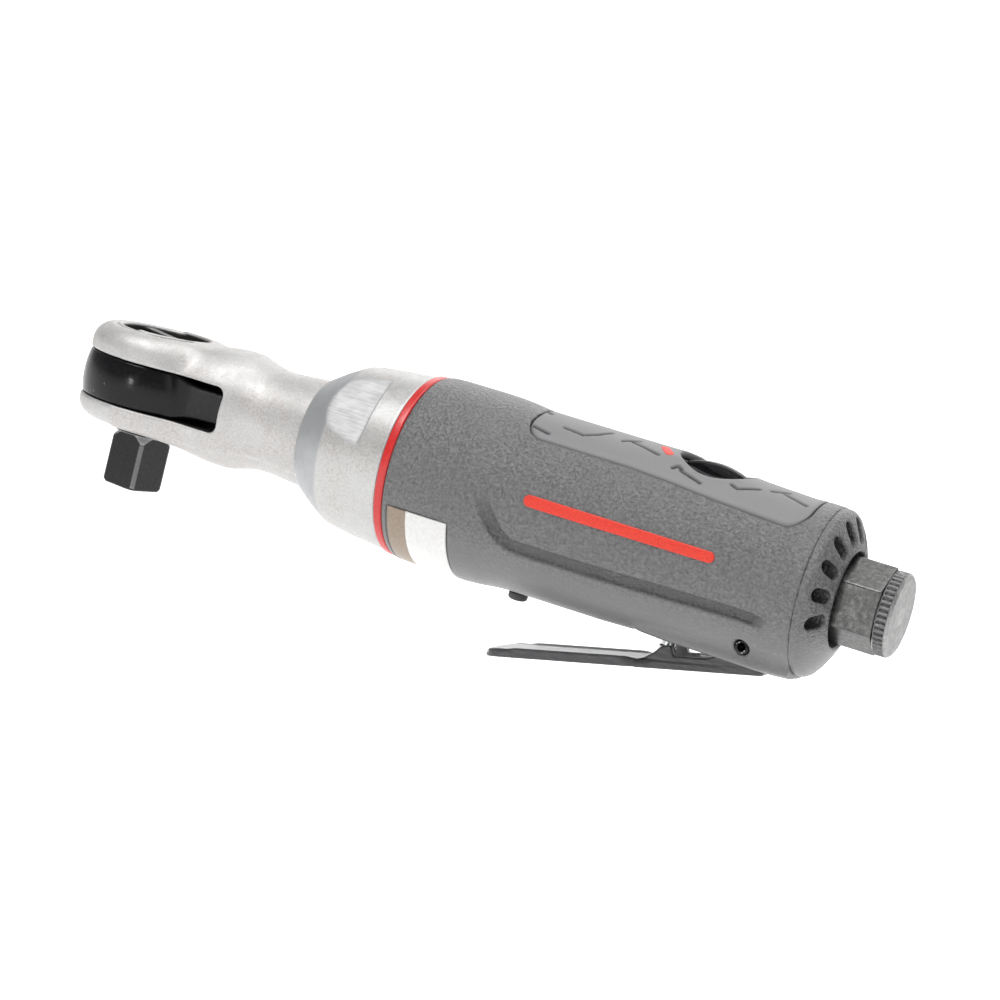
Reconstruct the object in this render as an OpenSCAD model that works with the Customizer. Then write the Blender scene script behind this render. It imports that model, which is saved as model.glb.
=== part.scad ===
// Compact pneumatic ratchet wrench.
// The square drive's socket seat is at the origin, +X runs back to the air inlet and +Z is up.
// The tool axis runs along X at the height tool_height above the seat.

/* [Square drive and head] */
// Width across the flats of the square drive, in mm
drive_square = 9.525; // [9.4:0.025:9.65]
// Length of the square drive below its socket seat, in mm
drive_length = 10.6; // [9.5:0.1:12]
// Turn of the drive square about its own axis, in degrees
drive_turn = -13.75; // [-45:0.25:45]
// Height of the tool axis above the socket seat, in mm
tool_height = 12.9; // [12.6:0.1:14]
// Radius of the round ratchet head, in mm
head_radius = 15.4; // [15.2:0.1:16]
// Height of the head's top face above the tool axis, in mm
head_top = 11.3; // [11.1:0.1:11.8]
// Depth of the head's bottom face below the tool axis, in mm
head_bottom = 9.7; // [9.5:0.1:10]

/* [Yoke and pawl] */
// Number of teeth inside the yoke
yoke_teeth = 40; // [36:1:44]
// Throw of the crank pin, in mm
crank_throw = 1.5; // [1.3:0.1:1.6]
// Swing of the pawl each side of its middle, in degrees
pawl_tilt = 6; // [4:0.5:6]

/* [Planet gear train] */
// Gear module, in mm
gear_module = 0.5; // [0.49:0.01:0.5]
// Thinning of each gear flank at the pitch circle, in mm
gear_backlash = 0.07; // [0.06:0.01:0.09]

/* [Air motor] */
// Radius of the rotor, in mm
rotor_radius = 10.4; // [10.2:0.1:10.45]
// Number of vanes in the rotor
vane_count = 5; // [4:1:6]
// Thickness of a vane, in mm
vane_thickness = 1.6; // [1.4:0.1:1.8]

/* [Body] */
// Radius of the body's front collar, in mm
collar_radius = 20.1; // [19.9:0.1:20.4]
// Half angle of the soft grip panel about the top, in degrees
panel_half_angle = 41; // [36:1:44]
// Depth of the long groove in each side of the body, in mm
groove_depth = 0.9; // [0.4:0.1:1]

/* [Throttle and regulator] */
// Angle between the released throttle lever and the tool axis, in degrees
lever_angle = 13.5; // [12.5:0.1:14]
// Width of the throttle lever's free end, in mm
lever_width = 14; // [12:0.5:15]
// Radius of the regulator opening, in mm
regulator_hole = 7.8; // [7.5:0.1:8]

/* [Inlet and exhaust] */
// Width across the flats of the inlet hexagon, in mm
hex_flats = 16; // [15.9:0.1:16.4]
// Radius of the inlet's threaded wall, in mm
inlet_radius = 6.2; // [6:0.05:6.25]
// Number of exhaust vents round the inlet
vent_count = 11; // [7:1:12]
// Width of an exhaust vent, in mm
vent_width = 2.9; // [2.4:0.1:3.2]
// Number of knurl notches round the dust cap
knurl_count = 44; // [30:2:50]

/* [Hidden] */
$fn = 72;

// Stations along the tool axis
slot_end = 23;
nut_front = 42.2;
ring_front = 65.35;
shell_front = 67.3;
shell_end = 157.2;
hex_seat = 160.5;
hex_end = 171;
cap_end = 174.2;

// Head and spindle
slot_half = 5.05;
yoke_half = 4.95;
spindle_radius = 9.5;
spindle_bore = 9.56;
journal_radius = 8;
journal_bore = 8.06;
tooth_tip = 9.58;
tooth_root = 10.35;
square_seat = -tool_height;
square_end = -tool_height - drive_length;
ball_turn = drive_turn + 90;
ball_radius = 1.75;
ball_out = drive_square / 2 - 0.75;
ball_drop = square_seat - drive_length * 0.53;
knob_radius = 8.75;
pawl_y = -5.8;

// Crank and planet train
pin_radius = 2;
bush_radius = 3;
sun_teeth = 12;
planet_teeth = 18;
ring_teeth = 48;
planet_orbit = gear_module * (sun_teeth + planet_teeth) / 2;
gear_front = 52;
gear_end = 60;
pressure = 24;

// Motor
cylinder_offset = 1.5;
cylinder_bore = rotor_radius + cylinder_offset + 0.09;
cylinder_front = 66.4;
cylinder_end = 100.4;

// Throttle
lever_pin_x = 147.1;
lever_pin_z = -13.8;
lever_plate = 1.6;
lever_drop = 4.5;
lever_reach = 57.7;
valve_x = 129;
regulator_x = 129.5;
bumper_x = 94.6;

// Inlet
hex_corner = hex_flats / sqrt(3);
vent_pitch = 22.5;
vent_phase = -5;
vent_orbit = 13.9;

// Plain bars on the body's sides
bar_half = 1.2;

// Radius of the body at stations along the tool axis, as [radius, station]
body_curve = [
    [19.6, shell_front], [collar_radius - 0.3, 68], [collar_radius, 71], [collar_radius, 80],
    [19.95, 84], [19.75, 87], [19.3, 90], [19.1, 93], [19.05, 104], [19, 115], [18.65, 124],
    [18.2, 131], [17.85, 138], [17.5, 147], [17.35, 151], [17.65, 153.5], [17.6, shell_end]
];

// Radius of the neck at stations along the tool axis, as [radius, station]
neck_curve = [
    [15.3, 0], [15, 6], [14.1, 12], [13.5, 17], [13.35, 20.5], [13.05, 23.2], [12.05, 26.4],
    [11.25, 29.6], [11.2, 33], [11.55, 37.5], [11.9, nut_front], [12, 48]
];

// Engraved dashes on each half of the grip panel, as [station, angle from the top, length, slant]
panel_dashes = [
    [94.3, 32.5, 4.2, 12], [100.5, 24, 5.2, 8], [104.5, 20, 5.6, -42], [110.6, 17, 3.6, -40],
    [115.3, 17.5, 7.6, 16], [126.8, 31.5, 6.4, 24], [123.8, 27.5, 1.6, -50], [138.4, 22, 5.4, -40],
    [143.8, 15, 3.8, -35], [148.3, 16, 7.2, 20], [151.2, 15, 4, -45]
];

// Radius of the grip panel's face at station x.
function panel_radius(x) =
    lookup(x, [[90.5, 19.3], [93, 19.2], [104, 19.15], [115, 19.1], [124, 18.75], [131, 18.3],
               [138, 17.95], [147, 17.65], [151, 17.5], [152.5, 17.65], [154, 17.75]]);

// ---- Shared shapes ----

// Moves geometry drawn about the tool axis into the part's frame.
module on_tool() {
    translate([0, 0, tool_height]) children();
}

// Turns a [radius, station] outline about the tool axis.
module turned(points) {
    rotate([0, 90, 0]) rotate_extrude() polygon(points);
}

module rod(x0, x1, r) {
    translate([x0, 0, 0]) rotate([0, 90, 0]) cylinder(r = r, h = x1 - x0);
}

module tube(x0, x1, outer, inner) {
    difference() {
        rod(x0, x1, outer);
        rod(x0 - 1, x1 + 1, inner);
    }
}

// A block given by its low and high corners.
module block(low, high) {
    translate(low) cube(high - low);
}

// A flat plate in X and Y with rounded corners, from z0 to z1.
module rounded_plate(x0, x1, half, corner, z0, z1) {
    block([x0 + corner, -half, z0], [x1 - corner, half, z1]);
    block([x0, -half + corner, z0], [x1, half - corner, z1]);
    for (x = [x0 + corner, x1 - corner], y = [-half + corner, half - corner])
        translate([x, y, z0]) cylinder(r = corner, h = z1 - z0);
}

// Angle in degrees that an involute has turned through where it reaches radius r.
function involute_turn(r, base) =
    r <= base ? 0 : sqrt(r * r / (base * base) - 1) * 180 / PI - acos(base / r);

// Closed outline of an involute gear. widen moves each flank outwards at the pitch circle.
function gear_outline(teeth, tip, root, widen) =
    let(pitch = gear_module * teeth / 2,
        base = pitch * cos(pressure),
        half = 90 / teeth + widen / pitch * 180 / PI + involute_turn(pitch, base),
        radii = [root, max(root, base) + 0.02, pitch, (pitch + tip) / 2, tip])
    [for (i = [0 : teeth - 1], side = [-1, 1], j = [0 : 4])
        let(r = side < 0 ? radii[j] : radii[4 - j],
            a = i * 360 / teeth + side * (half - involute_turn(r, base)))
        [r * cos(a), r * sin(a)]];

// A flat gear from x0 to x1 whose first tooth points up, turned by turn degrees.
module gear_blank(x0, x1, teeth, tip, root, widen, turn) {
    translate([x0, 0, 0]) rotate([0, 90, 0]) rotate([0, 0, 180 + turn])
        linear_extrude(x1 - x0) polygon(gear_outline(teeth, tip, root, widen));
}

// ---- Ratchet head and its drive ----

module head_puck() {
    translate([0, 0, -head_bottom]) rotate_extrude() union() {
        square([head_radius - 4.4, head_top + head_bottom]);
        translate([0, 3.6]) square([head_radius, head_top + head_bottom - 8]);
        translate([head_radius - 4.4, head_top + head_bottom - 4.4]) circle(r = 4.4);
        square([head_radius - 3.6, 4]);
        translate([head_radius - 3.6, 3.6]) circle(r = 3.6);
    }
}

module ratchet_head() {
    color([0.80, 0.80, 0.79]) on_tool() difference() {
        union() {
            head_puck();
            intersection() {
                turned(concat([[0, 0]], neck_curve, [[14.1, 48], [14.1, 51], [0, 51]]));
                rotate([90, 0, 0]) linear_extrude(40, center = true) polygon([
                    [0, -head_bottom], [6, -head_bottom - 0.1], [9, -10.5], [13, -11.7], [17, -12.7],
                    [21, -13.5], [26, -15], [52, -15], [52, 15], [26, 15], [20.5, 13.7], [16.3, 12.95],
                    [12, 11.8], [9, head_top], [0, head_top]
                ]);
            }
        }
        // The yoke's slot, open at the front and both sides.
        rotate([90, 0, 0]) linear_extrude(40, center = true) union() {
            translate([-20, -slot_half]) square([slot_end + 18, 2 * slot_half]);
            translate([-20, 2 - slot_half]) square([slot_end + 20, 2 * slot_half - 4]);
            for (s = [-1, 1])
                translate([slot_end - 2, s * (slot_half - 2)]) circle(r = 2);
        }
        // Spindle bores and the retaining ring's groove.
        cylinder(r = spindle_bore, h = 20);
        translate([0, 0, -20]) cylinder(r = journal_bore, h = 20);
        translate([0, 0, 8.6]) cylinder(r = 10.3, h = 0.9);
        // Crank bore and the carrier's pocket.
        rod(slot_end - 0.4, 52, 8.6);
        rod(47.3, 52, 11.2);
    }
}

module spindle_retaining_ring() {
    color([0.10, 0.10, 0.11]) on_tool() difference() {
        translate([0, 0, 8.65]) cylinder(r = 10.2, h = 0.8);
        translate([0, 0, 8]) cylinder(r = 8.95, h = 3);
        block([9.4, -1.2, 8], [11, 1.2, 10]);
    }
}

module ratchet_yoke() {
    color([0.05, 0.05, 0.055]) on_tool() difference() {
        union() {
            rotate_extrude() intersection() {
                translate([-3.25, 0]) circle(r = 19);
                translate([0, -yoke_half]) square([20, 2 * yoke_half]);
            }
            linear_extrude(7.2, center = true) polygon([[0, 14], [14, 10.4], [21.8, 9], [21.8, -9],
                                                        [14, -10.4], [0, -14]]);
        }
        linear_extrude(20, center = true) polygon([for (i = [0 : 2 * yoke_teeth - 1])
            let(r = i % 2 == 0 ? tooth_root : tooth_tip, a = 180 * i / yoke_teeth)
            [r * cos(a), r * sin(a)]]);
        block([15.3, -6.6, -6], [30, 6.6, 6]);
    }
}

module drive_spindle() {
    color([0.09, 0.09, 0.10]) on_tool() difference() {
        union() {
            translate([0, 0, -4.95]) cylinder(r = spindle_radius, h = 13.45);
            translate([0, 0, -head_bottom - 0.1]) cylinder(r = journal_radius, h = head_bottom);
            translate([0, 0, square_seat + 1.3]) cylinder(r = 6.3, h = tool_height - head_bottom);
            intersection() {
                rotate([0, 0, drive_turn]) translate([-drive_square / 2, -drive_square / 2, square_end])
                    cube([drive_square, drive_square, drive_length + 2]);
                rotate_extrude() polygon([[0, square_end], [5.85, square_end], [6.35, square_end + 0.6],
                                          [6.35, square_seat], [5.5, square_seat + 1.3], [0, 0]]);
            }
        }
        // Pocket for the pawl, open on one side.
        block([-7.4, -12, -4.1], [7.4, -3.4, 4.1]);
        // Bores for the reversing knob's stem, its plunger and the pawl's pin.
        translate([0, 0, -3.2]) cylinder(r = 2.66, h = 14);
        translate([0, 0, -2]) cylinder(r = 3.6, h = 4);
        translate([0, 0, 7]) cylinder(r = 8.85, h = 5);
        translate([0, pawl_y, -4.8]) cylinder(r = 1.52, h = 10.4);
        // Pocket for the spring-loaded detent ball.
        rotate([0, 0, ball_turn]) translate([0.6, 0, ball_drop]) rotate([0, 90, 0])
            cylinder(r = ball_radius + 0.05, h = 10);
    }
}

module pawl_pin() {
    color([0.62, 0.63, 0.65]) on_tool() translate([0, pawl_y, -4.7]) cylinder(r = 1.5, h = 10.2);
}

// Pawl at the end of its tilt that the knob's resting position sets.
module ratchet_pawl() {
    color([0.40, 0.41, 0.43]) on_tool() translate([0, pawl_y, 0]) rotate([0, 0, pawl_tilt]) difference() {
        linear_extrude(8, center = true) polygon([
            [-6.1, 0.2], [-3.4, 1.5], [3.4, 1.5], [6.1, 0.2], [6, -0.7], [4.4, -1.6], [2.4, -2.6],
            [-2.4, -2.6], [-4.4, -1.6], [-6, -0.7]
        ]);
        translate([0, 0, -6]) cylinder(r = 1.56, h = 12);
    }
}

module detent_ball() {
    color([0.72, 0.73, 0.75]) on_tool() rotate([0, 0, ball_turn])
        translate([ball_out, 0, ball_drop]) sphere(r = ball_radius);
}

module reversing_knob() {
    color([0.06, 0.06, 0.065]) on_tool() rotate([0, 0, -30]) union() {
        difference() {
            translate([0, 0, 7.3]) cylinder(r = knob_radius, h = 2.5);
            for (a = [0 : 30 : 330])
                rotate([0, 0, a]) translate([knob_radius + 1.2, 0, 8.6]) cylinder(r = 1.7, h = 2);
        }
        // Stem with the plunger's bore.
        difference() {
            translate([0, 0, -3.1]) cylinder(r = 2.6, h = 11);
            rotate([90, 0, 0]) cylinder(r = 1.03, h = 4);
        }
        // Raised grip bar across the top.
        intersection() {
            block([-7.8, -1.6, 9], [7.8, 1.6, 11]);
            translate([0, 0, 8]) cylinder(r = 8, h = 4);
        }
    }
}

module knob_plunger() {
    color([0.62, 0.63, 0.65]) on_tool() rotate([0, 0, -30]) translate([0, -2.5, 0]) rotate([90, 0, 0]) union() {
        cylinder(r = 1, h = 0.5);
        translate([0, 0, 0.3]) sphere(r = 0.7);
    }
}

module crank_bush() {
    color([0.62, 0.50, 0.26]) on_tool() translate([0, 0, crank_throw]) difference() {
        rod(16.6, 21.4, bush_radius);
        rod(16, 22, pin_radius + 0.05);
    }
}

module crankshaft() {
    color([0.52, 0.53, 0.55]) on_tool() difference() {
        union() {
            translate([0, 0, crank_throw]) rod(16.3, 24, pin_radius);
            rod(23.5, 48, 7);
            rod(47.6, 50.8, 10.9);
        }
        for (a = [0, 120, 240])
            rotate([a, 0, 0]) translate([0, 0, planet_orbit]) rod(48.2, 52, 1.72);
        rod(44, 52, 3.9);
    }
}

module crank_bearing() {
    color([0.70, 0.60, 0.36]) on_tool() tube(25.5, 42, 8.57, 7.05);
}

// ---- Planet gear train ----

module planet_pins() {
    color([0.70, 0.71, 0.73]) on_tool() for (a = [0, 120, 240])
        rotate([a, 0, 0]) translate([0, 0, planet_orbit]) rod(48.4, gear_end + 0.3, 1.7);
}

module planet_gear(a) {
    color([0.46, 0.47, 0.49]) on_tool() rotate([a, 0, 0]) translate([0, 0, planet_orbit]) difference() {
        gear_blank(gear_front, gear_end, planet_teeth, planet_teeth * gear_module / 2 + 0.4,
                   planet_teeth * gear_module / 2 - 0.62, -gear_backlash, 180 / planet_teeth);
        rod(gear_front - 1, gear_end + 1, 1.76);
    }
}

module planet_gear_1() {
    planet_gear(0);
}

module planet_gear_2() {
    planet_gear(120);
}

module planet_gear_3() {
    planet_gear(240);
}

module ring_gear() {
    color([0.50, 0.51, 0.53]) on_tool() difference() {
        rod(51.1, 60.8, 14.9);
        gear_blank(51, 61, ring_teeth, ring_teeth * gear_module / 2 + 0.62,
                   ring_teeth * gear_module / 2 - 0.4, gear_backlash, 180 / ring_teeth);
    }
}

// ---- Coupling nut and air motor ----

module coupling_nut() {
    color([0.76, 0.76, 0.75]) on_tool() difference() {
        turned([[12.05, nut_front], [12.4, nut_front], [17.35, 50.3], [17.75, 52], [18.2, 55.3],
                [18.7, 60], [19.15, ring_front - 0.3], [19.05, ring_front - 0.05],
                [17, ring_front - 0.05], [17, 59.7], [15, 59.7], [15, 51.05], [14.2, 51.05],
                [14.2, 47.95], [12.05, 47.95]]);
        // Two wrench flats.
        for (s = [0, 180])
            rotate([54 + s, 0, 0]) block([44, -15, 16.55], [59, 15, 25]);
    }
}

module accent_ring() {
    color([0.86, 0.09, 0.07]) on_tool()
        turned([[16.95, ring_front], [19.35, ring_front], [19.55, 65.6], [19.6, 67], [19.5, 67.25],
                [16.95, 67.25]]);
}

module front_end_plate() {
    color([0.58, 0.59, 0.61]) on_tool() difference() {
        rod(61.2, 66.2, 15);
        rod(60, 62, 6);
        rod(61.6, 67, 9.53);
        translate([0, 0, -13.2]) rod(60, 70, 1.03);
    }
}

module rear_end_plate() {
    color([0.58, 0.59, 0.61]) on_tool() difference() {
        rod(100.6, 105.8, 15);
        rod(100, 105.4, 9.53);
        translate([0, 0, -13.2]) rod(98, 104, 1.03);
        // Air ports into the cylinder.
        for (a = [-35, 35])
            rotate([a, 0, 0]) translate([0, 0, 11.7]) rod(100, 107, 1.3);
    }
}

module motor_cylinder() {
    color([0.60, 0.61, 0.62]) on_tool() difference() {
        rod(cylinder_front, cylinder_end, 15.1);
        translate([0, 0, cylinder_offset]) rod(cylinder_front - 1, cylinder_end + 1, cylinder_bore);
        translate([0, 0, -13.2]) rod(cylinder_front - 1, cylinder_end + 1, 1.03);
        // Exhaust ports through one side.
        for (x = [74, 80, 86, 92])
            translate([x, 0, -2]) rotate([-90, 0, 0]) cylinder(r = 1.6, h = 20);
    }
}

module cylinder_dowel() {
    color([0.74, 0.75, 0.77]) on_tool() translate([0, 0, -13.2]) rod(61.8, 103.6, 1);
}

module bearing_outer(x0, x1) {
    color([0.66, 0.67, 0.69]) on_tool() tube(x0, x1, 9.5, 7.8);
}

module bearing_inner(x0, x1) {
    color([0.68, 0.69, 0.71]) on_tool() tube(x0, x1, 5.2, 3.53);
}

module bearing_balls(x) {
    color([0.80, 0.81, 0.83]) on_tool() for (a = [0 : 360 / 7 : 359])
        rotate([a, 0, 0]) translate([x, 0, 6.5]) sphere(r = 1.22);
}

module front_bearing_outer() {
    bearing_outer(61.7, 66);
}

module rear_bearing_outer() {
    bearing_outer(100.9, 105.3);
}

module front_bearing_inner() {
    bearing_inner(61.7, 66);
}

module rear_bearing_inner() {
    bearing_inner(100.9, 105.3);
}

module front_bearing_balls() {
    bearing_balls(63.85);
}

module rear_bearing_balls() {
    bearing_balls(103.1);
}

// Slotted rotor with its shaft and the sun pinion cut on the shaft's front end.
module rotor() {
    color([0.54, 0.55, 0.57]) on_tool() difference() {
        union() {
            rod(cylinder_front + 0.3, cylinder_end - 0.3, rotor_radius);
            rod(60.9, 105.2, 3.5);
            rod(51.4, 61.2, sun_teeth * gear_module / 2 - 0.62);
            gear_blank(gear_front - 0.4, 61.2, sun_teeth, sun_teeth * gear_module / 2 + 0.4,
                       sun_teeth * gear_module / 2 - 0.62, -gear_backlash, 0);
        }
        for (i = [0 : vane_count - 1])
            rotate([i * 360 / vane_count, 0, 0])
                block([cylinder_front, -vane_thickness / 2 - 0.05, 5.5],
                      [cylinder_end, vane_thickness / 2 + 0.05, 12]);
    }
}

module rotor_vanes() {
    color([0.55, 0.38, 0.22]) on_tool() for (i = [0 : vane_count - 1])
        rotate([i * 360 / vane_count, 0, 0])
            block([cylinder_front + 0.4, -vane_thickness / 2, 5.6],
                  [cylinder_end - 0.4, vane_thickness / 2, rotor_radius - 0.06]);
}

// ---- Body ----

// Outside of the body, before its cuts.
module body_outside() {
    union() {
        turned(concat([[0, shell_front - 0.1], [19.5, shell_front]], body_curve, [[0, shell_end]]));
        // Cheeks that stand either side of the throttle lever.
        intersection() {
            rotate([90, 0, 0]) linear_extrude(18.4, center = true) polygon([
                [124, -12], [124, -17.6], [129, -18.3], [154, -18.4], [shell_end, -17.9], [shell_end, -12]
            ]);
            turned([[0, 120], [19.1, 120], [19.5, 130], [19.6, 150], [19, shell_end], [0, shell_end]]);
        }
    }
}

module motor_housing() {
    color([0.33, 0.33, 0.34]) on_tool() difference() {
        union() {
            body_outside();
            rod(60, 68, 16.9);
        }
        rod(50, 160, 15.3);
        // Recess for the grip panel.
        intersection() {
            rounded_plate(91.2, 153.6, 19 * sin(panel_half_angle), 4.5, 5, 25);
            turned([[25, 88], [19.35 - 1.3, 90], [19.1 - 1.3, 93], [19 - 1.3, 115], [17.85 - 1.3, 138],
                    [17.35 - 1.3, 151], [17.4 - 1.3, 155], [25, 155]]);
        }
        // Regulator opening.
        translate([regulator_x, 0, 5]) cylinder(r = regulator_hole, h = 20);
        // Long soft groove in each side.
        for (s = [-1, 1])
            rotate([-s * 23.5, 0, 0]) translate([0, s * (18.7 + 2.2 - groove_depth), 0]) rod(97, 148, 2.2);
        // Shallow recess for the label under the front collar.
        rotate([0, 90, 0]) rotate([0, 0, -70]) translate([0, 0, 68.6])
            rotate_extrude(angle = 140) translate([collar_radius - 0.35, 0]) square([2, 14.2]);
        // Lever slot, valve opening, lever pin and bumper.
        block([122, -5.8, -21], [154.5, 5.8, -12]);
        translate([valve_x, 0, -21]) cylinder(r = 4, h = 12);
        translate([lever_pin_x, 0, lever_pin_z]) rotate([90, 0, 0]) cylinder(r = 1.58, h = 50, center = true);
        translate([bumper_x, 0, -21]) cylinder(r = 1.53, h = 5);
    }
}

module grip_panel() {
    color([0.38, 0.38, 0.39]) on_tool() difference() {
        intersection() {
            rounded_plate(91.35, 153.45, 19 * sin(panel_half_angle) - 0.15, 4.35, 5, 25);
            turned([[19.2 - 1.15, 90.5], [19.1 - 1.15, 93], [19 - 1.15, 115], [17.85 - 1.15, 138],
                    [17.35 - 1.15, 151], [17.4 - 1.15, 154], [17.75, 154], [17.65, 152.5], [17.5, 151],
                    [17.65, 147], [17.95, 138], [18.3, 131], [18.75, 124], [19.1, 115], [19.15, 104],
                    [19.2, 93], [19.3, 90.5]]);
        }
        translate([regulator_x, 0, 5]) cylinder(r = regulator_hole + 0.1, h = 20);
        // Engraved dashes.
        for (s = [-1, 1], d = panel_dashes)
            rotate([s * d[1], 0, 0]) translate([d[0], 0, panel_radius(d[0])]) rotate([0, 0, s * d[3]])
                cube([d[2], 0.55, 0.8], center = true);
    }
}

// Plain raised bars on the body's sides, one each side.
module side_accents() {
    color([0.86, 0.14, 0.08]) on_tool() for (s = [-1, 1])
        rotate([s * 8, 0, 0]) intersection() {
            translate([0, s * 18.6, 0]) union() {
                block([99, -3, -bar_half], [138, 3, bar_half]);
                for (x = [99, 138])
                    translate([x, 0, 0]) rotate([90, 0, 0]) cylinder(r = bar_half, h = 6, center = true);
            }
            turned([for (lift = [0.02, 0.35], i = [7 : 13])
                let(p = body_curve[lift > 0.1 ? 20 - i : i])
                [p[0] + lift, p[1]]]);
        }
}

// Blank label wrapped under the front collar.
module label_plate() {
    color([0.90, 0.90, 0.88]) on_tool() rotate([0, 90, 0]) rotate([0, 0, -69.5]) translate([0, 0, 68.8])
        rotate_extrude(angle = 139) translate([collar_radius - 0.33, 0]) square([0.28, 13.8]);
}

module lever_bumper() {
    color([0.16, 0.16, 0.17]) on_tool() translate([bumper_x, 0, 0]) union() {
        translate([0, 0, -20.3]) cylinder(r = 2.1, h = 1.15);
        translate([0, 0, -20.8]) cylinder(r1 = 1.5, r2 = 2.1, h = 0.5);
        translate([0, 0, -19.5]) cylinder(r = 1.5, h = 3);
    }
}

// ---- Throttle, regulator and inlet ----

module throttle_body() {
    color([0.60, 0.61, 0.62]) on_tool() difference() {
        rod(106, 150, 15.15);
        // Flats that leave exhaust channels down both sides.
        for (s = [-1, 1])
            block([105, s > 0 ? 12.6 : -17, -9], [151, s > 0 ? 17 : -12.6, 17]);
        // Inlet, pressure chamber and feed to the motor.
        rod(147, 152, 8.03);
        rod(valve_x, 148, 2.8);
        translate([valve_x, 0, -3.9]) cylinder(r = 4.8, h = 8.9);
        translate([valve_x, 0, -10]) cylinder(r = 3.6, h = 7);
        translate([0, 0, -7]) rod(112, valve_x, 2.4);
        translate([112, 0, -7]) cylinder(r = 2.4, h = 15);
        translate([0, 0, 8]) rod(105, 112, 2.4);
        // Stem guide, regulator bore and regulator stem bore.
        translate([valve_x, 0, -20]) cylinder(r = 1.55, h = 12);
        translate([regulator_x, 0, 9]) cylinder(r = 7.2, h = 10);
        translate([regulator_x, 0, 3]) cylinder(r = 2.56, h = 8);
        // Lever slot.
        block([121.5, -5.8, -20], [151, 5.8, -13.5]);
        block([141, -5.8, -20], [151, 5.8, -10.5]);
        translate([lever_pin_x, 0, lever_pin_z]) rotate([90, 0, 0]) cylinder(r = 1.58, h = 50, center = true);
    }
}

module valve_seat() {
    color([0.14, 0.14, 0.15]) on_tool() translate([valve_x, 0, -3.85]) difference() {
        cylinder(r = 4.75, h = 0.95);
        translate([0, 0, -1]) cylinder(r = 2.4, h = 3);
    }
}

module valve_stem() {
    color([0.10, 0.10, 0.11]) on_tool() translate([valve_x, 0, -22.25]) union() {
        cylinder(r = 1.5, h = 21.8);
        cylinder(r1 = 1.5, r2 = 1.9, h = 0.6);
        translate([0, 0, 0.6]) cylinder(r = 1.9, h = 1.6);
    }
}

module valve_poppet() {
    color([0.22, 0.20, 0.16]) on_tool() translate([valve_x, 0, -2.85]) difference() {
        union() {
            cylinder(r = 3.5, h = 1.3);
            cylinder(r = 2, h = 2.6);
        }
        translate([0, 0, -1]) cylinder(r = 1.52, h = 3.45);
    }
}

// Coil spring that closes the valve.
module valve_spring() {
    color([0.66, 0.67, 0.69]) on_tool() translate([valve_x, 0, -1.5])
        linear_extrude(height = 6.4, twist = -360 * 4, slices = 80) difference() {
            intersection() {
                circle(r = 3.3, $fn = 20);
                polygon([[0, 0], [5, 0], [5, 5], [-5, 5], [-4.2, 0.6]]);
            }
            circle(r = 2.5, $fn = 20);
        }
}

module regulator_knob() {
    color([0.05, 0.05, 0.055]) on_tool() translate([regulator_x, 0, 0]) difference() {
        union() {
            translate([0, 0, 9.1]) cylinder(r = 7.1, h = 7.3);
            translate([0, 0, 5.1]) cylinder(r = 2.5, h = 5);
            // Raised thumb bar.
            block([-6.4, -1.5, 16], [6.4, 1.5, 18.6]);
        }
        translate([0, 0, 11.2]) difference() {
            cylinder(r = 8, h = 1.3);
            translate([0, 0, -1]) cylinder(r = 6, h = 4);
        }
        for (a = [0 : 45 : 315])
            rotate([0, 0, a + 22.5]) translate([7.6, 0, 14]) cylinder(r = 1.1, h = 4);
    }
}

module regulator_seal() {
    color([0.08, 0.08, 0.08]) on_tool() translate([regulator_x, 0, 11.85])
        rotate_extrude() translate([6.6, 0]) circle(r = 0.55);
}

module lever_pin() {
    color([0.16, 0.16, 0.17]) on_tool() translate([lever_pin_x, 0, lever_pin_z]) rotate([90, 0, 0]) difference() {
        cylinder(r = 1.55, h = 21, center = true);
        cylinder(r = 0.85, h = 30, center = true);
    }
}

// Pressed lever with a shallow edge flange that deepens into two ears on the pin.
module throttle_lever() {
    color([0.27, 0.27, 0.28]) on_tool() translate([lever_pin_x, 0, lever_pin_z])
        rotate([0, -lever_angle, 0]) difference() {
            union() {
                translate([0, 0, -lever_drop - lever_plate])
                    rounded_plate(-lever_reach, -23, lever_width / 2, 4, 0, lever_plate);
                block([-27, -5.4, -lever_drop - lever_plate], [3, 5.4, -lever_drop]);
                for (s = [-1, 1]) {
                    translate([0, s * (lever_width / 2 - 0.55), 0]) rotate([90, 0, 0])
                        linear_extrude(1.1, center = true) polygon([
                            [-lever_reach + 4.5, -lever_drop - 0.9], [-lever_reach + 7, 0.7 - lever_drop],
                            [-25.5, 0.7 - lever_drop], [-24, -lever_drop - 0.9]
                        ]);
                    translate([0, s * 4.6, 0]) rotate([90, 0, 0]) linear_extrude(1.6, center = true) union() {
                        polygon([[-27, -lever_drop - 1], [-27, 0.2 - lever_drop], [-22.5, 0.5 - lever_drop],
                                 [-20.5, 1.5 - lever_drop], [-18.8, 2.9 - lever_drop],
                                 [-16.6, 3.1 - lever_drop], [-16.2, 1 - lever_drop], [-8, 1.2 - lever_drop],
                                 [-3, 2], [3, 0], [3, -lever_drop - 1]]);
                        circle(r = 3);
                    }
                }
            }
            rotate([90, 0, 0]) cylinder(r = 1.62, h = 40, center = true);
        }
}

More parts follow.
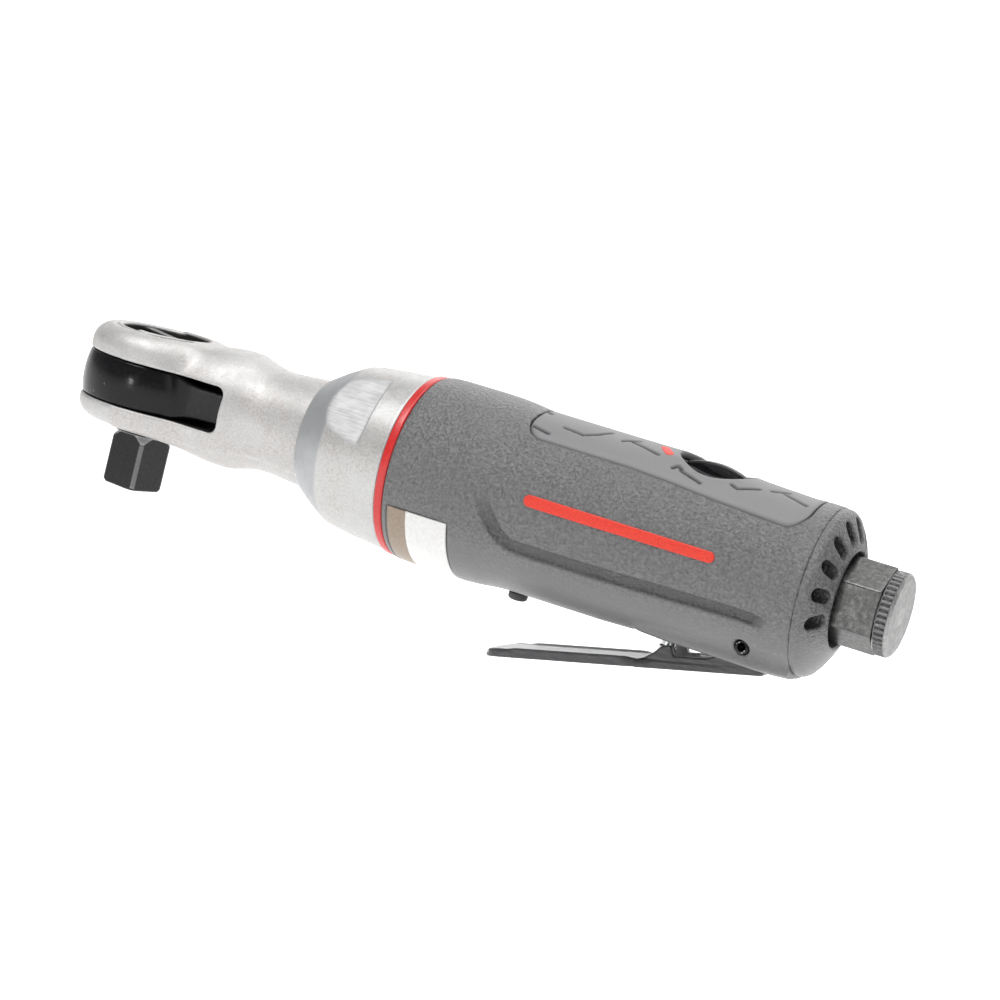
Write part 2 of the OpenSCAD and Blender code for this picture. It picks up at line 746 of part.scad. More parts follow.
module inlet_bushing() {
    color([0.34, 0.34, 0.35]) on_tool() difference() {
        union() {
            rod(147.3, hex_seat + 0.2, 8);
            intersection() {
                translate([hex_seat, 0, 0]) rotate([0, 90, 0]) cylinder(r = hex_corner, h = hex_end - hex_seat, $fn = 6);
                turned([[0, hex_seat], [8.6, hex_seat], [hex_corner + 0.1, hex_seat + 0.6],
                        [hex_corner + 0.1, hex_end - 0.8], [8.3, hex_end], [0, hex_end]]);
            }
        }
        rod(140, 158.5, 5);
        rod(158, 172, inlet_radius);
        rod(169, 172, 6.95);
    }
}

module inlet_screen() {
    color([0.70, 0.70, 0.68]) on_tool() difference() {
        rod(156.9, 157.5, 4.97);
        for (a = [0 : 60 : 300])
            rotate([a, 0, 0]) translate([0, 0, 2.6]) rod(156, 158, 0.8);
        rod(156, 158, 0.9);
    }
}

module exhaust_cap() {
    color([0.34, 0.34, 0.35]) on_tool() difference() {
        turned([[8.2, 158.5], [13.4, 158.5], [13.6, 157.2], [13.6, 153.4], [15.2, 153.4], [15.2, 157.25],
                [17.6, 157.25], [17.45, 158.6], [16.75, 159.7], [15.4, 160.7], [13.7, 161.6],
                [12.1, 162.3], [10.9, 162.75], [10.3, 162.8], [10, 162.6], [10, hex_seat - 0.1],
                [8.2, hex_seat - 0.1]]);
        for (i = [0 : vent_count - 1])
            rotate([vent_phase + (i - (vent_count - 1) / 2) * vent_pitch, 0, 0]) union() {
                block([152, -vent_width / 2, vent_orbit - 1.1], [165, vent_width / 2, vent_orbit + 0.9]);
                for (r = [vent_orbit - 1.1, vent_orbit + 0.9])
                    translate([0, 0, r]) rod(152, 165, vent_width / 2);
            }
    }
}

module muffler_felt() {
    color([0.55, 0.52, 0.44]) on_tool() tube(150.4, 157, 13.2, 8.3);
}

module dust_cap() {
    color([0.62, 0.62, 0.62]) on_tool() difference() {
        union() {
            turned([[0, 171.1], [8.5, 171.1], [8.75, 171.35], [8.75, 173.4], [8.45, 173.9], [7.9, cap_end],
                    [0, cap_end]]);
            rod(169.4, 172, 6.85);
        }
        rod(169, 171.6, 5.9);
        for (i = [0 : knurl_count - 1])
            rotate([i * 360 / knurl_count, 0, 0]) translate([171, 0, 8.85]) rotate([45, 0, 0])
                translate([0, -0.25, -0.25]) cube([2.5, 0.5, 0.5]);
    }
}

ratchet_head();
coupling_nut();
accent_ring();
motor_housing();
grip_panel();
side_accents();
label_plate();
exhaust_cap();
muffler_felt();
throttle_body();
inlet_bushing();
inlet_screen();
ring_gear();
crank_bearing();
front_end_plate();
rear_end_plate();
motor_cylinder();
cylinder_dowel();
front_bearing_outer();
rear_bearing_outer();
lever_pin();
lever_bumper();
valve_seat();
valve_spring();
spindle_retaining_ring();
rotor();
rotor_vanes();
front_bearing_inner();
rear_bearing_inner();
front_bearing_balls();
rear_bearing_balls();
crankshaft();
planet_pins();
planet_gear_1();
planet_gear_2();
planet_gear_3();
crank_bush();
ratchet_yoke();
drive_spindle();
pawl_pin();
detent_ball();
reversing_knob();
knob_plunger();
ratchet_pawl();
throttle_lever();
valve_stem();
valve_poppet();
regulator_knob();
regulator_seal();
dust_cap();
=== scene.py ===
"""Looks of a compact air ratchet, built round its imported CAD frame."""
import math

import bpy
import numpy as np
from mathutils import Matrix, Vector


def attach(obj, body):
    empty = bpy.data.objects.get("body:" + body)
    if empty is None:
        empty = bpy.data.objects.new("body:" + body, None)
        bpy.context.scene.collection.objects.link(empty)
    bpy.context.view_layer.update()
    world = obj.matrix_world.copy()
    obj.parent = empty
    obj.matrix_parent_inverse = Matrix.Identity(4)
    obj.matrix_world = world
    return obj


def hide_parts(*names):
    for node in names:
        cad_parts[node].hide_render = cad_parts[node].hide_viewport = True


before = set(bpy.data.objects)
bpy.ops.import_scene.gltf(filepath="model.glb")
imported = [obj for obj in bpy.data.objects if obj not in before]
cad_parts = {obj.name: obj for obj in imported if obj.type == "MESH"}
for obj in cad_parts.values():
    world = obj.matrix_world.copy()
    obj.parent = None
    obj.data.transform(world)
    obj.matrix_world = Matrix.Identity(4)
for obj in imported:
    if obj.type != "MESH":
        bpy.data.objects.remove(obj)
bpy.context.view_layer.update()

# Shapes are drawn in millimetres about the tool axis: x runs back to the air inlet, y to the far
# side and z up. The part's own frame has its origin at the socket seat, below that axis.
AXIS_HEIGHT = 12.9
MM = 0.001
TAU = 2 * math.pi


# ---------------------------------------------------------------- distance helpers
def smin(a, b, k):
    """Smaller of two distances, rounded over k millimetres."""
    h = np.maximum(k - np.abs(a - b), 0) / k
    return np.minimum(a, b) - h * h * k / 4


def smax(a, b, k):
    """Larger of two distances, rounded over k millimetres."""
    return -smin(-a, -b, k)


def cut(a, b, k):
    """Shape a less shape b, with the edge between them rounded over k."""
    return smax(a, -b, k)


def soft_curve(points, width=1.0):
    """Radius or height as a smooth function of the station, from (station, value) points."""
    x, y = np.array(points, float).T
    step = 0.05
    fine = np.arange(x[0] - 4 * width, x[-1] + 4 * width, step)
    rough = np.interp(fine, x, y)
    reach = np.arange(-3 * width, 3 * width + step, step)
    bell = np.exp(-((reach / width) ** 2))
    bell /= bell.sum()
    half = len(reach) // 2
    padded = np.pad(rough, half, mode="edge")
    smooth = np.convolve(padded, bell, mode="valid")[: len(fine)]
    return lambda s: np.interp(s, fine, smooth)


def rounded_box(u, v, half_u, half_v, radius):
    """Distance to a rectangle about the origin with rounded corners."""
    qu = np.abs(u) - half_u + radius
    qv = np.abs(v) - half_v + radius
    outside = np.hypot(np.maximum(qu, 0), np.maximum(qv, 0))
    return outside + np.minimum(np.maximum(qu, qv), 0) - radius


def polygon(u, v, points):
    """Signed distance to a closed outline, below zero inside."""
    pts = np.array(points, float)
    best = np.full(np.shape(u), 1e9)
    inside = np.zeros(np.shape(u), bool)
    for (au, av), (bu, bv) in zip(pts, np.roll(pts, -1, 0)):
        eu, ev = bu - au, bv - av
        t = np.clip(((u - au) * eu + (v - av) * ev) / (eu * eu + ev * ev), 0, 1)
        best = np.minimum(best, (u - au - t * eu) ** 2 + (v - av - t * ev) ** 2)
        crosses = (av > v) != (bv > v)
        inside ^= crosses & (u < (v - av) * eu / (ev if ev else 1e-9) + au)
    return np.where(inside, -1, 1) * np.sqrt(best)


def band(value, low, high):
    """Distance to the slab between two values of one coordinate."""
    return np.maximum(low - value, value - high)


def turn_x(y, z, degrees):
    """y and z of a point in axes turned by an angle about the tool axis."""
    a = math.radians(degrees)
    return y * math.cos(a) + z * math.sin(a), z * math.cos(a) - y * math.sin(a)


# ---------------------------------------------------------------- meshes from distances
def straight(a, b, c):
    return a, b, c


def round_axis(x, turn, r):
    """Grid coordinates station, angle from the top and radius to x, y, z."""
    return x, -r * np.sin(turn), r * np.cos(turn)


def steps(low, high, size):
    return np.linspace(low, high, max(2, int(round((high - low) / size)) + 1))


CORNERS = np.array([[a, b, c] for a in (0, 1) for b in (0, 1) for c in (0, 1)])
EDGES = [(p, q) for p in range(8) for q in range(p + 1, 8)
         if np.abs(CORNERS[p] - CORNERS[q]).sum() == 1]


def skin(name, distance, axes, place=straight, wrap=False, coarse=None, shade=None):
    """Closed mesh of a distance function's zero surface, on a grid of one vertex a cell.

    wrap joins the ends of the second axis. coarse(x, y, z) picks plain hidden surface,
    whose vertices are merged in blocks of five by five. shade(x, y, z) is kept at the
    vertices as the attribute that the materials read."""
    a, b, c = axes
    f = distance(*place(*np.meshgrid(a, b, c, indexing="ij")))
    if wrap:
        f = np.concatenate([f, f[:, :1]], 1)
        b = np.append(b, b[0] + TAU)
    na, nb, nc = np.array(f.shape) - 1
    corner = [f[p : p + na, q : q + nb, r : r + nc] for p, q, r in CORNERS]
    some = np.any([k < 0 for k in corner], 0)
    every = np.all([k < 0 for k in corner], 0)
    cell = np.argwhere(some & ~every)
    ids = np.full((na, nb, nc), -1)
    ids[tuple(cell.T)] = np.arange(len(cell))
    value = np.stack([k[tuple(cell.T)] for k in corner], 1)
    total = np.zeros((len(cell), 3))
    count = np.zeros(len(cell))
    for p, q in EDGES:
        crosses = (value[:, p] < 0) != (value[:, q] < 0)
        gap = value[:, p] - value[:, q]
        t = np.where(crosses, value[:, p] / np.where(crosses, gap, 1), 0)
        total += crosses[:, None] * (CORNERS[p] + t[:, None] * (CORNERS[q] - CORNERS[p]))
        count += crosses
    spot = cell + total / count[:, None]
    grid = [np.interp(spot[:, i], np.arange(len(ax)), ax) for i, ax in enumerate((a, b, c))]
    co = np.stack(place(*grid), 1).astype(float)
    co = settle(co, distance)

    quads = []
    inside = f < 0
    for axis in range(3):
        u, v = (axis + 1) % 3, (axis + 2) % 3
        low = np.moveaxis(inside, (axis, u, v), (0, 1, 2))
        ids_m = np.moveaxis(ids, (axis, u, v), (0, 1, 2))
        change = low[:-1] != low[1:]
        i, j, k = np.nonzero(change)
        sizes = ids_m.shape[1:]
        keep = (j < sizes[0]) & (k < sizes[1])
        keep &= (j > 0) | (wrap and u == 1)
        keep &= (k > 0) | (wrap and v == 1)
        i, j, k = i[keep], j[keep], k[keep]
        jl, kl = (j - 1) % sizes[0], (k - 1) % sizes[1]
        quad = np.stack([ids_m[i, jl, kl], ids_m[i, j, kl], ids_m[i, j, k], ids_m[i, jl, k]], 1)
        starts_inside = low[i, j, k]
        quad[~starts_inside] = quad[~starts_inside][:, ::-1]
        quads.append(quad)
    quads = np.concatenate(quads)
    if coarse is not None:
        quads = merge_blocks(co, cell, quads, coarse(*co.T))
    return mesh_object(name, co, quads, shade)


def settle(co, distance, rounds=3):
    """Moves vertices onto the surface along the distance function's slope."""
    e = 0.01
    for _ in range(rounds):
        d = distance(*co.T)
        shifts = np.eye(3) * e
        rise = [distance(*(co + shift).T) - distance(*(co - shift).T) for shift in shifts]
        slope = np.stack(rise, 1) / (2 * e)
        size = np.maximum((slope**2).sum(1), 0.2)
        move = -(d / size)[:, None] * slope
        length = np.maximum(np.linalg.norm(move, axis=1), 1e-9)
        co = co + move * np.minimum(1, 0.12 / length)[:, None]
    return co


def merge_blocks(co, cell, quads, plain, size=5):
    """Quads with the vertices of each wholly plain block of cells merged into one."""
    block = cell[:, 0] // size * 100000 + cell[:, 1] // size
    order = np.unique(block, return_inverse=True)[1]
    flagged = np.bincount(order, plain)
    good = (flagged == size * size)[order] & plain
    first = np.full(order.max() + 1, -1)
    chosen = np.nonzero(good)[0]
    first[order[chosen][::-1]] = chosen[::-1]
    target = np.arange(len(co))
    target[chosen] = first[order[chosen]]
    return target[quads]


def mesh_object(name, co, faces, shade=None):
    """Mesh object from millimetre vertices about the tool axis. Repeated corners are dropped."""
    if not isinstance(faces, list):
        faces = [list(dict.fromkeys(f)) for f in faces.tolist()]
    faces = [f for f in faces if len(f) > 2]
    used = np.unique(np.concatenate([np.array(f) for f in faces]))
    lookup = np.full(len(co), -1)
    lookup[used] = np.arange(len(used))
    co = np.asarray(co, float)[used]
    fans = lookup[np.array([(f[0], f[i], f[i + 1]) for f in faces for i in range(1, len(f) - 1)])]
    volume = np.einsum("ij,ij->", co[fans[:, 0]], np.cross(co[fans[:, 1]], co[fans[:, 2]]))
    lookup_faces = [[int(lookup[i]) for i in (f if volume > 0 else f[::-1])] for f in faces]
    tone = None if shade is None else np.clip(shade(*co.T), 0, 1)
    co = co * MM
    co[:, 2] += AXIS_HEIGHT * MM
    mesh = bpy.data.meshes.new(name)
    mesh.from_pydata(co.tolist(), [], lookup_faces)
    if tone is not None:
        mesh.attributes.new("shade", "FLOAT", "POINT").data.foreach_set("value", tone)
    mesh.validate()
    mesh.polygons.foreach_set("use_smooth", [True] * len(mesh.polygons))
    mesh.update()
    obj = bpy.data.objects.new(name, mesh)
    bpy.context.scene.collection.objects.link(obj)
    return obj


def revolve(outline, segments=180, radial=None, closed=True):
    """Turned piece from a (station, radius) outline. radial(x, r, turn) may change the radius."""
    pts = np.array(outline, float)
    turn = np.arange(segments) * TAU / segments
    x = np.repeat(pts[:, :1], segments, 1)
    r = np.repeat(pts[:, 1:], segments, 1)
    t = np.repeat(turn[None], len(pts), 0)
    if radial is not None:
        r = radial(x, r, t)
    co = np.stack([x, -r * np.sin(t), r * np.cos(t)], 2).reshape(-1, 3)
    n = len(pts)
    faces = []
    for i in range(n if closed else n - 1):
        k = (i + 1) % n
        for j in range(segments):
            m = (j + 1) % segments
            faces.append([i * segments + j, k * segments + j, k * segments + m, i * segments + m])
    if not closed:
        faces.append(list(range(segments)))
        faces.append([(n - 1) * segments + j for j in range(segments)][::-1])
    return co, faces


def round_outline(points, radius=0.3, parts=4, closed=True):
    """Outline with its corners rounded, as more points."""
    pts = [np.array(p, float) for p in points]
    out = []
    n = len(pts)
    for i, p in enumerate(pts):
        if not closed and i in (0, n - 1):
            out.append(p)
            continue
        a, b = pts[i - 1] - p, pts[(i + 1) % n] - p
        reach = min(radius, 0.45 * np.linalg.norm(a), 0.45 * np.linalg.norm(b))
        start, end = p + a / np.linalg.norm(a) * reach, p + b / np.linalg.norm(b) * reach
        for s in np.linspace(0, 1, parts + 1):
            out.append((1 - s) ** 2 * start + 2 * s * (1 - s) * p + s * s * end)
    return out


def turned_piece(name, outline, radius=0.3, segments=180, radial=None, closed=True, parts=4):
    co, faces = revolve(round_outline(outline, radius, parts, closed), segments, radial, closed)
    return mesh_object(name, co, faces)


# ---------------------------------------------------------------- head
HEAD_R, HEAD_TOP, HEAD_LOW = 15.4, 11.3, 9.7
SLOT_END, SLOT_HALF = 23.0, 5.05
TOP_BORE, LOW_BORE, CRANK_BORE, BEARING_BORE = 9.6, 8.1, 8.6, 11.2
KNOB_BORE = 8.85
DRIVE_HALF, DRIVE_TURN = 4.7625, -13.75

neck_radius = soft_curve(
    [(-20, 15.25), (0, 15.25), (6, 14.9), (12, 13.4), (15, 13.3), (17.5, 13.4), (20.5, 13.35), (23.2, 12.95),
     (26.4, 11.95), (29.6, 11.2), (33, 11.15), (37, 11.45), (42, 11.9), (52, 12)], 1.2)
neck_top = soft_curve(
    [(0, 11.2), (9, 11.2), (12, 11.6), (16.3, 12.8), (20.5, 13.55), (26, 15), (52, 15)], 1.1)
neck_low = soft_curve(
    [(0, 9.65), (6, 9.7), (9, 10.4), (13, 11.6), (17, 12.6), (21, 13.4), (26, 15), (52, 15)], 1.1)


def head_outside(x, y, z):
    """The head's outer form, before its slot and bores are cut."""
    r = np.hypot(y, z)
    plan = np.hypot(x, y)
    # The round puck has a large top edge and a smaller bottom one.
    top = rounded_half(plan, z, HEAD_R, HEAD_TOP, 4.4)
    low = rounded_half(plan, -z, HEAD_R, HEAD_LOW, 3.6)
    puck = np.maximum(top, low)
    neck = smax(r - neck_radius(x), smax(z - neck_top(x), -z - neck_low(x), 1), 2.2)
    neck = np.maximum(neck, -x)
    neck = np.maximum(neck, x - 50.9)
    d = smin(puck, neck, 2.5)
    return np.where(x > 45, np.minimum(d, np.maximum(r - 14.05, band(x, 48.05, 50.95))), d)


def head_distance(x, y, z):
    r = np.hypot(y, z)
    plan = np.hypot(x, y)
    d = head_outside(x, y, z)
    # Yoke slot, spindle bores, crank bore.
    slot = rounded_box(x - (SLOT_END - 30), z, 30, SLOT_HALF, 2.0)
    d = cut(d, slot, 0.7)
    d = cut(d, np.maximum(plan - TOP_BORE, -z), 0.7)
    d = cut(d, np.maximum(plan - LOW_BORE, z), 0.8)
    # Fine turned line round the bore.
    d = cut(d, rounded_box(plan - 11.3, z - HEAD_TOP, 0.5, 0.3, 0.1), 0.2)
    d = np.maximum(d, -np.maximum(r - CRANK_BORE, SLOT_END - 0.4 - x))
    return np.maximum(d, -np.maximum(r - BEARING_BORE, 47.3 - x))


def rounded_half(u, v, u_max, v_max, radius):
    """Distance to the region below u_max and v_max, with a rounded corner."""
    qu, qv = u - u_max + radius, v - v_max + radius
    return np.hypot(np.maximum(qu, 0), np.maximum(qv, 0)) + np.minimum(np.maximum(qu, qv), 0) - radius


# The tone kept at the head's vertices is 1 on every face cut into it, the slot and the bores, where the cast
# material paints shade.
head = skin("ratchet_head_casting", head_distance,
            (steps(-15.8, 51.3, 0.34), steps(-15.8, 15.8, 0.34), steps(-15.6, 15.6, 0.34)),
            shade=lambda x, y, z: -(head_outside(x, y, z) + 0.35) / 0.3)
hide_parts("ratchet_head")
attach(head, "housing")


def spindle_distance(x, y, z):
    plan = np.hypot(x, y)
    d = smax(plan - 9.5, band(z, -4.95, 8.5), 0.3)
    d = smin(d, np.maximum(plan - 8.0, band(z, -9.8, -4.5)), 0.2)
    d = smin(d, np.maximum(plan - 6.3, band(z, -11.5, -9)), 0.2)
    turn = math.radians(DRIVE_TURN)
    u = x * math.cos(turn) + y * math.sin(turn)
    v = y * math.cos(turn) - x * math.sin(turn)
    square = np.maximum(rounded_box(u, v, DRIVE_HALF, DRIVE_HALF, 0.35), band(z, -23.5, -10))
    square = smax(square, np.maximum(plan - 6.35, 0.77 * (plan - 6.35 - (z + 22.8) * 0.83)), 0.12)
    square = smax(square, 0.71 * (plan - 5.1 - np.abs(z + 11.4) * 0.83), 0.2)
    d = smin(d, square, 0.25)
    # Cross groove that holds a socket's spring ball, in the two faces beside the ball's.
    ball = math.radians(DRIVE_TURN + 90)
    along = x * math.cos(ball) + y * math.sin(ball)
    across = np.hypot(y * math.cos(ball) - x * math.sin(ball), z + 18.52)
    d = cut(d, np.maximum(across - 1.8, 0.6 - along), 0.15)
    # Pawl pocket, knob bores, knob recess.
    pocket = np.maximum(np.abs(x) - 7.4, np.maximum(band(y, -12, -3.4), np.abs(z) - 4.1))
    d = np.maximum(d, -pocket)
    d = np.maximum(d, -np.maximum(plan - 2.66, -3.2 - z))
    return np.maximum(d, -np.maximum(plan - KNOB_BORE, 7 - z))


def square_highlight(x, y, z):
    """Painted highlight, 1 on the cone facets at the square's root and a third of that on its turned corners.
    """
    plan = np.hypot(x, y)
    corners = np.minimum((plan - 6.22) / 0.08, (-13.2 - z) / 0.2)
    facets = np.minimum(1.6 - np.abs(plan - 5.1 - np.abs(z + 11.4) * 0.83) / 0.16, (plan - 5.15) / 0.1)
    return np.where(z < -11.2, np.maximum(np.minimum(corners, 0.35), np.where(z > -13.4, facets, 0)), 0)


spindle = skin("drive_spindle_body", spindle_distance,
               (steps(-9.8, 9.8, 0.26), steps(-9.8, 9.8, 0.26), steps(-23.8, 8.8, 0.26)), shade=square_highlight)
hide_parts("drive_spindle")
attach(spindle, "spindle")


def knob_distance(x, y, z):
    plan = np.hypot(x, y)
    turn = np.arctan2(y, x) + math.radians(30)
    d = rounded_box(plan, z - 8.55, 8.7, 1.25, 0.45)
    # Twelve scallops round the rim.
    fold = (turn + TAU / 24) % (TAU / 12) - TAU / 24
    d = cut(d, np.maximum(np.hypot(plan * np.cos(fold) - 9.95, plan * np.sin(fold)) - 1.7, 8.6 - z), 0.3)
    # Dished face with a raised bar across it.
    d = cut(d, np.hypot(plan, (z - 21.4)) - 12.1, 0.4)
    u = x * math.cos(-math.pi / 6) + y * math.sin(-math.pi / 6)
    v = y * math.cos(-math.pi / 6) - x * math.sin(-math.pi / 6)
    bar = smax(rounded_box(v, z - 9.3, 1.55, 1.65, 0.6), plan - 7.9, 0.6)
    bar = np.maximum(bar, 8 - z)
    d = smin(d, bar, 0.6)
    stem = np.maximum(plan - 2.6, band(z, -3.1, 7.6))
    return np.minimum(d, cut(stem, np.hypot(u, z) - 1.03 + 9 * (v > 0), 0.1))


knob = skin("reversing_knob_body", knob_distance,
            (steps(-9, 9, 0.2), steps(-9, 9, 0.2), steps(-3.4, 11.2, 0.2)))
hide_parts("reversing_knob")
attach(knob, "knob")

yoke_half = soft_curve([(-16, 4.9), (11, 4.9), (14, 3.9), (16.5, 3.55), (24, 3.55)], 0.8)
fork_width = soft_curve([(-1, 14.0), (0, 14), (14, 10.4), (22, 9)], 0.8)


def yoke_distance(x, y, z):
    plan = np.hypot(x, y)
    # Barrel-shaped ring.
    d = smax(np.hypot(plan + 3.25, z) - 19.0, np.abs(z) - 4.93, 0.7)
    fork = smax(np.abs(y) - fork_width(x), np.abs(z) - yoke_half(np.minimum(x, 22)), 0.7)
    fork = smax(fork, band(x, 0, 21.75), 0.4)
    d = smin(d, fork, 0.5)
    turn = np.arctan2(y, x)
    tooth = np.abs((turn * 40 / TAU) % 1 - 0.5) * 2
    d = np.maximum(d, 9.6 + 0.75 * tooth - plan)
    return cut(d, rounded_box(x - 23, y, 7.7, 6.6, 0.8), 0.4)


yoke = skin("ratchet_yoke_body", yoke_distance,
            (steps(-16.1, 22.1, 0.27), steps(-16.1, 16.1, 0.27), steps(-5.2, 5.2, 0.27)))
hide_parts("ratchet_yoke")
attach(yoke, "yoke")

# ---------------------------------------------------------------- coupling nut and red ring
nut_radius = soft_curve(
    [(42, 12.2), (42.6, 12.7), (46.3, 15.2), (50.0, 17.3), (52, 17.75), (55.3, 18.2), (60, 18.7),
     (65.3, 19.15)], 0.35)
FLAT_HALF, FLAT_END, FLAT_TURN = 16.55, 59.0, 54


def nut_distance(x, y, z):
    r = np.hypot(y, z)
    d = smax((r - nut_radius(x)) * 0.8, band(x, 42.25, 65.28), 0.3)
    for side in (FLAT_TURN, FLAT_TURN + 180):
        up = turn_x(y, z, side)[1]
        d = cut(d, smax(FLAT_HALF - up, x - FLAT_END, 0.8), 0.35)
    bore = np.select([x < 47.98, x < 51.05, x < 59.7], [12.08, 14.2, 15.0], 17.0)
    return np.maximum(d, bore - r)


def nut_flats(x, y, z):
    """1 on the two wrench flats."""
    off = np.abs(np.abs(turn_x(y, z, FLAT_TURN)[1]) - FLAT_HALF)
    return 1.8 - 6 * off - 20 * (x > FLAT_END - 0.05)


nut = skin("coupling_nut_body", nut_distance,
           (steps(41.95, 65.6, 0.3), np.arange(330) * TAU / 330, steps(11.6, 19.6, 0.33)),
           round_axis, wrap=True, coarse=lambda x, y, z: (np.hypot(y, z) < 15.2) & (x > 43),
           shade=nut_flats)
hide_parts("coupling_nut")
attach(nut, "housing")

ring = turned_piece(
    "red_band",
    [(65.35, 16.95), (65.35, 19.3), (65.6, 19.55), (67.0, 19.62), (67.27, 19.4), (67.27, 16.95)], 0.25, 240)
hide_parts("accent_ring")
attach(ring, "housing")

# ---------------------------------------------------------------- body shell
shell_radius = soft_curve(
    [(66, 19.5), (67.3, 19.5), (68.2, 19.9), (71, 20.05), (80, 20.05), (84, 19.95), (87, 19.75),
     (90, 19.35), (93, 19.1), (104, 19.05), (115, 19.0), (124, 18.65), (131, 18.2), (138, 17.85),
     (147, 17.5), (151, 17.35), (153.5, 17.65), (157.2, 17.6), (159, 17.6)], 0.6)
panel_radius = soft_curve(
    [(90, 19.3), (93, 19.2), (104, 19.15), (115, 19.1), (124, 18.75), (131, 18.3), (138, 17.95), (147, 17.65),
     (151, 17.5), (152.5, 17.65), (155, 17.7)], 0.8)
cheek_radius = soft_curve([(118, 19.1), (130, 19.5), (150, 19.6), (159, 19.0)], 1)
cheek_low = soft_curve([(122.5, 17.2), (124.5, 17.7), (129, 18.3), (154, 18.4), (158, 17.9)], 0.8)
PANEL_LOW, PANEL_HIGH, PANEL_HALF, PANEL_CORNER = 91.2, 153.6, 12.46, 4.5
REGULATOR_X, REGULATOR_R = 129.5, 7.8
LEVER_PIN = (147.1, -13.8)
# Groove in each side as station and angle up from straight out, and how deep it is there.
GROOVE = [(152.5, -25.5, 0.0), (149, -24.2, 1.0), (146, -23.6, 1.0), (120, -23.4, 1.0),
          (99.5, -23.6, 1.0), (96.6, -23.2, 1.0), (94.6, -20.4, 1.0), (93.0, -16.4, 0.95),
          (91.6, -11.0, 0.85), (90.3, -5.5, 0.6), (89.3, 0.0, 0.3), (88.8, 4.0, 0.0)]
ARC = math.radians(1) * 18.6  # millimetres round the grip per degree


def groove_depth(x, y, z):
    """Depth in mm of the soft groove that frames each side of the grip."""
    r = np.hypot(y, z)
    up = np.degrees(np.arcsin(np.clip(z / np.maximum(r, 1), -1, 1)))
    near = np.full(np.shape(x), 9.0)
    deep = np.zeros(np.shape(x))
    for (ax, aa, ad), (bx, ba, bd) in zip(GROOVE, GROOVE[1:]):
        ex, ea = bx - ax, (ba - aa) * ARC
        t = np.clip(((x - ax) * ex + (up - aa) * ARC * ea) / (ex * ex + ea * ea), 0, 1)
        away = np.hypot(x - ax - t * ex, (up - aa) * ARC - t * ea)
        closer = away < near
        near = np.where(closer, away, near)
        deep = np.where(closer, ad + (bd - ad) * t, deep)
    shape = np.clip((1.75 - near) / 0.75, 0, 1)
    shape = shape * shape * (3 - 2 * shape)
    return 0.9 * deep * shape * (z > -16)


def dimple(x, y, z):
    """Soft hollow behind the end of each groove."""
    r = np.hypot(y, z)
    up = np.degrees(np.arcsin(np.clip(z / np.maximum(r, 1), -1, 1)))
    away = np.hypot((x - 153.2) / 2.3, (up + 33) / 9.5)
    return 0.35 * np.exp(-(away**2))


def panel_plan(x, y, grow=0.0):
    middle = (PANEL_LOW + PANEL_HIGH) / 2
    half = (PANEL_HIGH - PANEL_LOW) / 2
    return rounded_box(x - middle, y, half + grow, PANEL_HALF + grow, PANEL_CORNER + grow)


def label_plan(x, y, z):
    """Distance over the collar to the edge of the label's recess, 70 degrees each way from below."""
    under = np.degrees(np.arctan2(np.abs(y), -z))
    return rounded_box(x - 75.7, under * 0.35, 7.1, 70 * 0.35, 0.7)


def shell_distance(x, y, z):
    r = np.hypot(y, z)
    d = r - shell_radius(x) + groove_depth(x, y, z) + dimple(x, y, z)
    cheek = smax(np.abs(y) - 9.2, smax(-z - cheek_low(x), r - cheek_radius(x), 0.8), 0.9)
    cheek = smax(cheek, np.maximum(124 - x, z + 8), 0.8)
    d = smin(d, cheek, 1.4)
    d = smax(smax(d, 67.32 - x, 0.35), x - 157.24, 0.06)
    # Recesses for the panel and the label.
    d = cut(d, np.maximum(np.maximum(panel_plan(x, y), -z), shell_radius(x) - 1.25 - r), 0.3)
    d = cut(d, np.maximum(label_plan(x, y, z), 19.72 - r), 0.12)
    # Regulator opening.
    d = cut(d, np.maximum(np.hypot(x - REGULATOR_X, y) - REGULATOR_R, -z), 0.4)
    # Lever slot, valve opening, pin hole and bumper hole.
    d = cut(d, np.maximum(rounded_box(x - 138.25, y, 16.25, 5.8, 1.2), z + 12), 0.6)
    pin = np.hypot(x - LEVER_PIN[0], z - LEVER_PIN[1])
    d = cut(d, pin - 1.62, 0.5)
    d = cut(d, np.maximum(np.hypot(x - 94.6, y) - 1.55, z + 12), 0.3)
    return np.maximum(d, 15.3 - r)


def groove_shade_and_label_rim(x, y, z):
    """Painted shade in the side grooves, and the dark line round the label's recess."""
    rim = 1.3 - np.abs(label_plan(x, y, z)) / 0.25
    return np.maximum(groove_depth(x, y, z) / 0.8, rim)


shell = skin("motor_housing_shell", shell_distance,
             (steps(67.0, 157.5, 0.38), np.arange(324) * TAU / 324, steps(14.9, 20.95, 0.36)),
             round_axis, wrap=True, coarse=lambda x, y, z: np.hypot(y, z) < 15.45,
             shade=groove_shade_and_label_rim)
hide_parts("motor_housing")
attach(shell, "housing")

# Threaded front spigot that carries the nut. It is hidden under the nut and the ring.
spigot = turned_piece(
    "motor_housing_spigot", [(60, 15.35), (60, 16.6), (60.3, 16.9), (67.3, 16.9), (67.3, 15.35)], 0.1, 96)
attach(spigot, "housing")
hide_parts("motor_housing")

